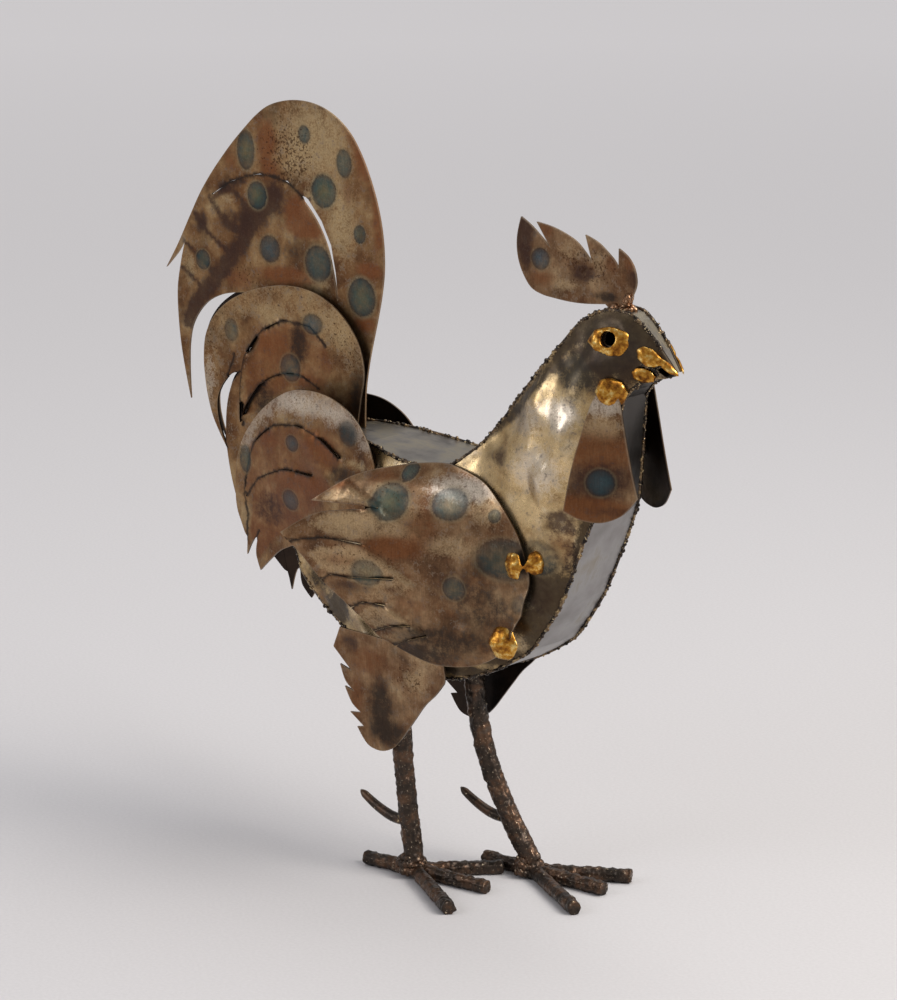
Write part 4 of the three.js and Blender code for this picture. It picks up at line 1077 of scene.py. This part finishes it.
# %% Remaking a solid as lumpy metal
def lumpy(name, node, grain_mm, rub, lumps, seed, swell=(1, 1, 1), move=(0, 0, 0)):
    """A fine skin over a node, smoothed, with lumps given as (size, height) in millimetres.

    swell stretches it about its middle first. move shifts it ahead, away from the bird's middle, and up."""
    corners, faces = merged(node)
    middle = (corners.min(0) + corners.max(0)) / 2
    ahead, out, up = move
    shift = np.array([ahead, math.copysign(out, middle[1]), up])
    corners = middle + (corners - middle) * np.array(swell) + shift
    piece = new_piece(name, corners, faces.tolist())
    skin_over = piece.modifiers.new("skin", "REMESH")
    skin_over.mode = "VOXEL"
    skin_over.voxel_size = grain_mm * MM
    rubbed = piece.modifiers.new("rub", "SMOOTH")
    rubbed.iterations = rub
    plain = bpy.data.meshes.new_from_object(piece.evaluated_get(bpy.context.evaluated_depsgraph_get()))
    piece.modifiers.clear()
    piece.data = plain
    places, outward = corner_values(plain), corner_values(plain, "normal")
    for size, height in lumps:
        places = places + outward * (height * MM * soft_noise(places / MM, size, seed))[:, None]
    places[:, 2] = np.maximum(places[:, 2], 0.0)
    plain.vertices.foreach_set("co", places.ravel())
    plain.polygons.foreach_set("use_smooth", np.ones(len(plain.polygons), bool))
    plain.name = name
    plain.update()
    return piece


# %% [markdown]
# The legs and toes are round bar, built up with weld until they look like a bird's scaly legs. The crust
# is dark oxide with rust between the lumps, and a few sharp points are lighter, as bare metal where the
# wire brush reached them and as painted glints.

# %% Crusted bar material
crust, tree, shader, place = new_material("crusted_weld_bar", Metallic=0.75)
patchy = add(tree, "ShaderNodeTexNoise", grain(place, 14, 5.0, 0.6))
pitted = add(tree, "ShaderNodeTexNoise", grain(place, 1.6, 4.0, 0.6))
crust_tones = [(0.34, "#2B2520"), (0.48, "#40352D"), (0.58, "#5C4433"), (0.68, "#584A3F")]
base = add(tree, "ShaderNodeValToRGB", {"Fac": patchy}, crust_tones)
# Lighter points: bare metal where brushed, and painted glints.
brushed_points_and_glints = add(tree, "ShaderNodeMapRange", {"Value": pitted, **span(0.63, 0.7, 0.0, 0.9)})
base = add(tree, "ShaderNodeMix", {"Factor": brushed_points_and_glints, "A": base, "B": colour("#C9B79C")}, data_type="RGBA")
worn = add(tree, "ShaderNodeMapRange", {"Value": pitted, **span(0.3, 0.7, 0.48, 0.26)})
bump = add(tree, "ShaderNodeBump", {"Height": pitted, "Strength": 0.5, "Distance": 0.35 * MM})
plug(tree, shader, {"Base Color": base, "Roughness": worn, "Normal": bump})

# %% Legs and toes
LEG_LUMPS = [(3.4, 0.7), (1.7, 0.4)]
TOE_LUMPS = [(3.2, 0.7), (1.6, 0.4)]
for seed, label in enumerate(("right", "left")):
    for count, kind in enumerate(("leg", "toe_middle", "toe_inner", "toe_outer")):
        lumps = LEG_LUMPS if kind == "leg" else TOE_LUMPS
        bar = lumpy(f"crusted_{kind}_{label}", f"{kind}_{label}", 0.8, 6, lumps, 50 + 10 * seed + count)
        finish_sheet(bar, f"{kind}_{label}", crust, "crusted_rod")

# %% [markdown]
# A spur is thinner bar, forged to a blunt hook in the fire, so it is smooth. It is swept along a soft
# curve through the places that the solid bends at, and its ends are rounded.

# %% Spurs
SPUR_LENGTH = 48.0
SPUR_BENDS = [(0.06, 0.0), (-0.15, -0.02), (-0.38, -0.02), (-0.72, 0.1), (-1.0, 0.26)]
SPUR_RADII = [4.0, 4.0, 3.8, 3.4, 2.7]
SPUR_SIDES = 18


def forged_hook(name, places, radii):
    """A round bar along smooth places in the bird's long plane, closed with a rounded end."""
    count = len(places)
    ways = np.gradient(places, axis=0)
    ways /= np.linalg.norm(ways, axis=1)[:, None]
    corners = []
    for place, way, radius in zip(places, ways, radii):
        up = np.array([-way[2], 0, way[0]])
        for side in range(SPUR_SIDES):
            angle = 2 * math.pi * side / SPUR_SIDES
            corners.append(place + radius * (math.cos(angle) * np.array([0, 1.0, 0]) + math.sin(angle) * up))
    faces = []
    for ring in range(count - 1):
        for side in range(SPUR_SIDES):
            a, b = ring * SPUR_SIDES + side, ring * SPUR_SIDES + (side + 1) % SPUR_SIDES
            faces.append((a, b, b + SPUR_SIDES, a + SPUR_SIDES))
    faces.append(tuple(range(SPUR_SIDES))[::-1])
    faces.append(tuple((count - 1) * SPUR_SIDES + side for side in range(SPUR_SIDES)))
    hook = new_piece(name, corners, faces)
    outward = bmesh.new()
    outward.from_mesh(hook.data)
    bmesh.ops.recalc_face_normals(outward, faces=outward.faces)
    outward.to_mesh(hook.data)
    outward.free()
    return hook


spur_roots = {}
for label in ("right", "left"):
    corners, _ = merged(f"spur_{label}")
    tip = corners[corners[:, 0] < corners[:, 0].min() + 1.5].mean(0)
    spur_roots[label] = tip - SPUR_LENGTH * np.array([SPUR_BENDS[-1][0], 0, SPUR_BENDS[-1][1]])
    bends = np.array([spur_roots[label] + SPUR_LENGTH * np.array([x, 0, z]) for x, z in SPUR_BENDS])
    steps = np.linspace(0, len(bends) - 1, 40)
    smooth = np.stack([np.interp(steps, np.arange(len(bends)), bends[:, axis]) for axis in range(3)], 1)
    for _ in range(30):
        smooth[1:-1] = (smooth[:-2] + 2 * smooth[1:-1] + smooth[2:]) / 4
    radii = np.interp(steps, np.arange(len(bends)), SPUR_RADII)
    radii = radii * np.sqrt(np.clip((steps[-1] + 0.02 - steps) / 0.3, 0, 1))
    hook = forged_hook(f"forged_spur_{label}", smooth, radii)
    finish_sheet(hook, f"spur_{label}", crust, "crusted_rod")

# %% [markdown]
# Brass rod was melted on as braze: rings round the eyes, the beak's cover, the ear beads and the tacks on
# the wings. It wets the steel and freezes in low smooth waves. It stays bright on its high parts and goes
# brown where flux burnt.

# %% Braze material
braze, tree, shader, place = new_material("melted_brass", Metallic=1.0)
burnt = add(tree, "ShaderNodeTexNoise", grain(place, 5, 4.0, 0.6))
brass_tones = [(0.32, "#5E3A19"), (0.42, "#966226"), (0.53, "#C08B38"), (0.66, "#E6C880")]
base = add(tree, "ShaderNodeValToRGB", {"Fac": burnt}, brass_tones)
worn = add(tree, "ShaderNodeMapRange", {"Value": burnt, **span(0.3, 0.6, 0.5, 0.27)})
bump = add(tree, "ShaderNodeBump", {"Height": burnt, "Strength": 0.3, "Distance": 0.4 * MM})
plug(tree, shader, {"Base Color": base, "Roughness": worn, "Normal": bump})

# %% Brass pieces: rounds of rubbing, swell, move
BRASS = {
    "eye_ring": (85, (1.12, 1.9, 1.13), (0.6, 0.7, 0)),
    "beak_upper_brass": (24, (1.05, 1.1, 1.2), (0, 0.6, 0)),
    "beak_lower_brass": (24, (1.15, 1.1, 1.15), (0, 0.5, 0)),
    "ear_brass": (90, (1.6, 1.7, 1.45), (2.4, 1.2, 0)),
    "wing_tack_upper": (60, (1.2, 1.5, 1.55), (-0.5, 1.2, -1.0)),
    "wing_tack_lower": (100, (1.6, 2.1, 1.5), (6.5, 6.0, 0)),
}
# The far side's ear bead and lower tack are smaller, as neither shows past the bird in the photograph
SMALLER_ON_THE_LEFT = {
    "ear_brass": (60, (1.3, 1.4, 1.2), (0, 0.5, 0)),
    "wing_tack_lower": (60, (1.3, 1.9, 1.3), (0, 6.0, 0)),
}
BRASS_LUMPS = [(6.0, 0.55), (2.4, 0.18)]
for seed, label in enumerate(("right", "left")):
    for count, (kind, shape) in enumerate(BRASS.items()):
        rub, swell, move = SMALLER_ON_THE_LEFT.get(kind, shape) if label == "left" else shape
        node = f"{kind}_{label}"
        lump_seed = 80 + 10 * seed + count
        melted = lumpy(f"{kind}_melt_{label}", node, 0.5, rub, BRASS_LUMPS, lump_seed, swell, move)
        finish_sheet(melted, node, braze, "brazed_brass")

# %% [markdown]
# The two strips between the flanks are plain grey steel, wiped clean, with faint straw streaks. Their
# solids are right as they are, so they only get this finish.

# %% Grey strip materials
DARKENING_FADE = 22


def wiped_grey_steel(name, tones, satin, darkened_from):
    """Grey sheet with soft streaks, darker above a height in millimetres."""
    material, tree, shader, place = new_material(name, Metallic=0.9)
    stretched = add(tree, "ShaderNodeMapping", {"Vector": place, "Scale": (0.2, 1.0, 0.2)})
    streaks = add(tree, "ShaderNodeTexNoise", grain(stretched, 2.2, 5.0, 0.6))
    cloud = add(tree, "ShaderNodeTexNoise", grain(place, 30, 4.0, 0.55))
    mixed = add(tree, "ShaderNodeMath", {0: streaks, 1: 0.25, 2: cloud}, operation="MULTIPLY_ADD")
    mixed = add(tree, "ShaderNodeMath", {0: mixed, 1: 0.8}, operation="MULTIPLY")
    base = add(tree, "ShaderNodeValToRGB", {"Fac": mixed}, tones)
    height = add(tree, "ShaderNodeSeparateXYZ", {"Vector": place}).outputs["Z"]
    height = add(tree, "ShaderNodeMath", {0: cloud, 1: 20 * MM, 2: height}, operation="MULTIPLY_ADD")
    # Darker above a height, mixed towards a dark grey.
    darkened_share = {"Value": height, **span(darkened_from * MM, (darkened_from + DARKENING_FADE) * MM, 0.0, 0.85)}
    darkened_share = add(tree, "ShaderNodeMapRange", darkened_share)
    base = add(tree, "ShaderNodeMix", {"Factor": darkened_share, "A": base, "B": colour("#37332F")}, data_type="RGBA")
    worn = {"Value": streaks, **span(0.3, 0.7, satin - 0.05, satin + 0.07)}
    worn = add(tree, "ShaderNodeMapRange", worn)
    bump = add(tree, "ShaderNodeBump", {"Height": streaks, "Strength": 0.12, "Distance": 0.2 * MM})
    plug(tree, shader, {"Base Color": base, "Roughness": worn, "Normal": bump})
    return material


breast_tones = [(0.34, "#7F7C7A"), (0.46, "#8C8988"), (0.56, "#979594"), (0.68, "#8E877C")]
back_tones = [(0.34, "#66605A"), (0.46, "#878179"), (0.54, "#9A907D"), (0.66, "#8A8782")]
strips = (("back_strip", back_tones, 0.34, 470), ("breast_strip", breast_tones, 0.4, 318))
for node, tones, satin, darkened_from in strips:
    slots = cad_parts[node].data.materials
    slots.clear()
    slots.append(wiped_grey_steel(f"wiped_grey_{node}", tones, satin, darkened_from))
print("grey strips", len(strips))

# %% [markdown]
# ## Weld
# The maker ran weld along both edges of each flank, and did not grind it. A weld bead is a row of frozen
# drops, each lapped over the last. Geometry Nodes lay it: the seam is divided at even steps, a thin rod
# of metal is swept along it, and a rounded drop of a random size and turn is set at each step. The drops
# have few faces, because there are hundreds.

# %% The nodes that lay a weld
def weld_layer():
    """The group of nodes that turns a seam into weld."""
    tree = bpy.data.node_groups.new("lay_weld_drops", "GeometryNodeTree")
    tree.interface.new_socket(name="Seam", in_out="INPUT", socket_type="NodeSocketGeometry")
    inputs = {"Step": "Float", "Drop radius": "Float", "Wander": "Float", "Seed": "Int", "Metal": "Material"}
    for name, kind in inputs.items():
        tree.interface.new_socket(name=name, in_out="INPUT", socket_type="NodeSocket" + kind)
    tree.interface.new_socket(name="Weld", in_out="OUTPUT", socket_type="NodeSocketGeometry")
    given = add(tree, "NodeGroupInput").outputs

    # The rod
    seam = add(tree, "GeometryNodeMeshToCurve", {"Mesh": given["Seam"]})
    seam = add(tree, "GeometryNodeResampleCurve", {"Curve": seam, "Length": given["Step"]}, mode="LENGTH")
    thin = add(tree, "ShaderNodeMath", {0: given["Drop radius"], 1: 0.7}, operation="MULTIPLY")
    round_bar = add(tree, "GeometryNodeCurvePrimitiveCircle", {"Resolution": 8, "Radius": thin})
    rod = add(tree, "GeometryNodeCurveToMesh", {"Curve": seam, "Profile Curve": round_bar})

    # The drops, each moved aside, turned and stretched at random
    drop = add(tree, "GeometryNodeMeshIcoSphere", {"Radius": 1.0, "Subdivisions": 2})
    aside = {"Min": (-1.0, -1.0, -1.0), "Max": (1.0, 1.0, 1.0), "Seed": given["Seed"]}
    aside = add(tree, "FunctionNodeRandomValue", aside, data_type="FLOAT_VECTOR")
    aside = add(tree, "ShaderNodeVectorMath", {"Vector": aside, "Scale": given["Wander"]}, operation="SCALE")
    spots = add(tree, "GeometryNodeCurveToPoints", {"Curve": seam}, mode="EVALUATED")
    spots = add(tree, "GeometryNodeSetPosition", {"Geometry": spots.outputs["Points"], "Offset": aside})
    turn_seed = add(tree, "ShaderNodeMath", {0: given["Seed"], 1: 7.0}, operation="ADD")
    turn = {"Min": (0.0, 0.0, 0.0), "Max": (6.28, 6.28, 6.28), "Seed": turn_seed}
    turn = add(tree, "FunctionNodeRandomValue", turn, data_type="FLOAT_VECTOR")
    size_seed = add(tree, "ShaderNodeMath", {0: given["Seed"], 1: 13.0}, operation="ADD")
    size = {"Min": (0.6, 0.5, 0.6), "Max": (1.3, 1.0, 1.2), "Seed": size_seed}
    size = add(tree, "FunctionNodeRandomValue", size, data_type="FLOAT_VECTOR")
    size = {"Vector": size, "Scale": given["Drop radius"]}
    size = add(tree, "ShaderNodeVectorMath", size, operation="SCALE")
    drops = {"Points": spots, "Instance": drop, "Rotation": turn, "Scale": size}
    drops = add(tree, "GeometryNodeInstanceOnPoints", drops)
    drops = add(tree, "GeometryNodeRealizeInstances", {"Geometry": drops})

    # Both together
    weld = add(tree, "GeometryNodeJoinGeometry", {"Geometry": drops})
    tree.links.new(rod.outputs[0], weld.inputs[0])
    weld = add(tree, "GeometryNodeSetShadeSmooth", {"Geometry": weld})
    weld = add(tree, "GeometryNodeSetMaterial", {"Geometry": weld, "Material": given["Metal"]})
    add(tree, "NodeGroupOutput", {"Weld": weld})
    return tree


weld_tree = weld_layer()


def lay_weld(name, seams, step, radius, wander, seed, metal, slot):
    """Lays weld along seams, each a row of places in drawing millimetres, and leaves a plain mesh."""
    places = np.concatenate(seams)
    rows = []
    first = 0
    for seam in seams:
        rows.extend((first + i, first + i + 1) for i in range(len(seam) - 1))
        first += len(seam)
    weld = new_piece(name, places, [], rows)
    layer = weld.modifiers.new("weld", "NODES")
    layer.node_group = weld_tree
    values = {"Step": step * MM, "Drop radius": radius * MM, "Wander": wander * MM}
    values.update(Seed=seed, Metal=metal)
    for item in weld_tree.interface.items_tree:
        if item.in_out == "INPUT" and item.name in values:
            layer[item.identifier] = values[item.name]
    plain = bpy.data.meshes.new_from_object(weld.evaluated_get(bpy.context.evaluated_depsgraph_get()))
    weld.modifiers.clear()
    weld.data = plain
    plain.name = name
    plain.materials.clear()
    plain.materials.append(metal)
    places = corner_values(plain)
    places[:, 2] = np.maximum(places[:, 2], 0)
    plain.vertices.foreach_set("co", places.ravel())
    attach(weld, "root")
    print(name, "drops and rod, triangles", sum(len(p.vertices) - 2 for p in plain.polygons))


# %% [markdown]
# The weld cools dark grey under a skin of oxide. Small spots are lighter, partly as bright metal and
# partly as painted glints, and along the back the heat left a gold tint on them.

# %% Weld materials
weld_metal, tree, shader, place = new_material("oxidised_weld", Metallic=0.9, Roughness=0.3)
patchy = add(tree, "ShaderNodeTexNoise", grain(place, 7, 3.0))
fine = add(tree, "ShaderNodeTexNoise", grain(place, 1.6, 3.0, 0.6))
weld_tones = [(0.38, "#2A2522"), (0.5, "#463C34"), (0.58, "#6E5A44"), (0.68, "#9C8662")]
base = add(tree, "ShaderNodeValToRGB", {"Fac": patchy}, weld_tones)
# Painted glints, with bright metal: small spots lightened at random.
bare_metal_and_glints = add(tree, "ShaderNodeMapRange", {"Value": fine, **span(0.58, 0.68)})
base = add(tree, "ShaderNodeMix", {"Factor": bare_metal_and_glints, "A": base, "B": colour("#C8B48E")}, data_type="RGBA")
bump = add(tree, "ShaderNodeBump", {"Height": fine, "Strength": 0.4, "Distance": 0.3 * MM})
plug(tree, shader, {"Base Color": base, "Normal": bump})

copper, tree, shader, place = new_material("copper_braze", Metallic=1.0, Roughness=0.34)
fine = add(tree, "ShaderNodeTexNoise", grain(place, 3, 3.0, 0.6))
copper_tones = [(0.36, "#57402F"), (0.5, "#8F6B50"), (0.66, "#C4A384")]
base = add(tree, "ShaderNodeValToRGB", {"Fac": fine}, copper_tones)
bump = add(tree, "ShaderNodeBump", {"Height": fine, "Strength": 0.3, "Distance": 0.3 * MM})
plug(tree, shader, {"Base Color": base, "Normal": bump})

# %% Weld along the flanks
BEAK_START = 172.0
WELD_SINK = 0.7
flank_bead = {"step": 2.6, "radius": 1.75, "wander": 0.7, "metal": weld_metal}
for label, side, seed in (("right", -1, 3), ("left", 1, 5)):
    corners, faces = outer_face(f"flank_{label}", side)
    rim = max((soften(corners[loop], 3.0) for loop in rim_loops(faces)), key=len)
    rim = np.roll(rim, -int(np.argmax(rim[:, 0])), axis=0)
    rim = rim[rim[:, 0] < BEAK_START] - np.array([0, WELD_SINK * side, 0])
    lay_weld(f"flank_weld_{label}", [rim], **flank_bead, seed=seed, slot="crusted_rod")

# %% [markdown]
# Lumps of weld also hold each leg to its toes and each spur to its leg. The comb's foot was brazed with
# copper rod instead, which stays a dull reddish brown.

# %% Weld at the joints
def ring(middle, radius, height=0.0):
    angles = np.linspace(0, 2 * math.pi, 13)
    steps = np.stack([radius * np.cos(angles), radius * np.sin(angles), np.full(13, height)], 1)
    return np.asarray(middle) + steps


foot_bead = {"step": 1.7, "radius": 3.6, "wander": 1.2, "metal": crust}
spur_bead = {"step": 1.8, "radius": 1.3, "wander": 0.5, "metal": weld_metal}
for label, seed in (("right", 21), ("left", 31)):
    corners, _ = merged(f"leg_{label}")
    ankle = corners[corners[:, 2] < corners[:, 2].min() + 5].mean(0)
    hub = [ring(ankle, 5.0, 3.0), ring(ankle, 7.6, -0.5), ring(ankle, 8.6, -4.5)]
    lay_weld(f"foot_weld_{label}", hub, **foot_bead, seed=seed, slot="crusted_rod")
    heel = spur_roots[label] + np.array([-7.5, 0, 0.3])
    angles = np.linspace(0, 6.28, 13)
    around = heel + np.stack([0.8 * np.sin(angles), 3.6 * np.cos(angles), 3.6 * np.sin(angles)], 1)
    lay_weld(f"spur_weld_{label}", [around], **spur_bead, seed=seed + 4, slot="crusted_rod")

# %% Braze at the comb's foot
comb_bead = {"step": 1.0, "radius": 3.1, "wander": 0.5, "metal": copper}
corners, _ = merged("comb")
root = corners[corners[:, 2] < corners[:, 2].min() + 2.5]
foot_front = np.array([root[:, 0].max(), 0, root[:, 2].mean()])
along = np.linspace(foot_front + np.array([-7, 0, 0]), foot_front + np.array([6, 0, 0]), 5)
climb = np.linspace(foot_front + np.array([1, 0, 1]), foot_front + np.array([4, 0, 9]), 4)
comb_rows = [row + np.array([0, off, 0]) for row in (along, climb) for off in (-1.6, 1.6)]
lay_weld("comb_braze", comb_rows, **comb_bead, seed=41, slot="brazed_brass")
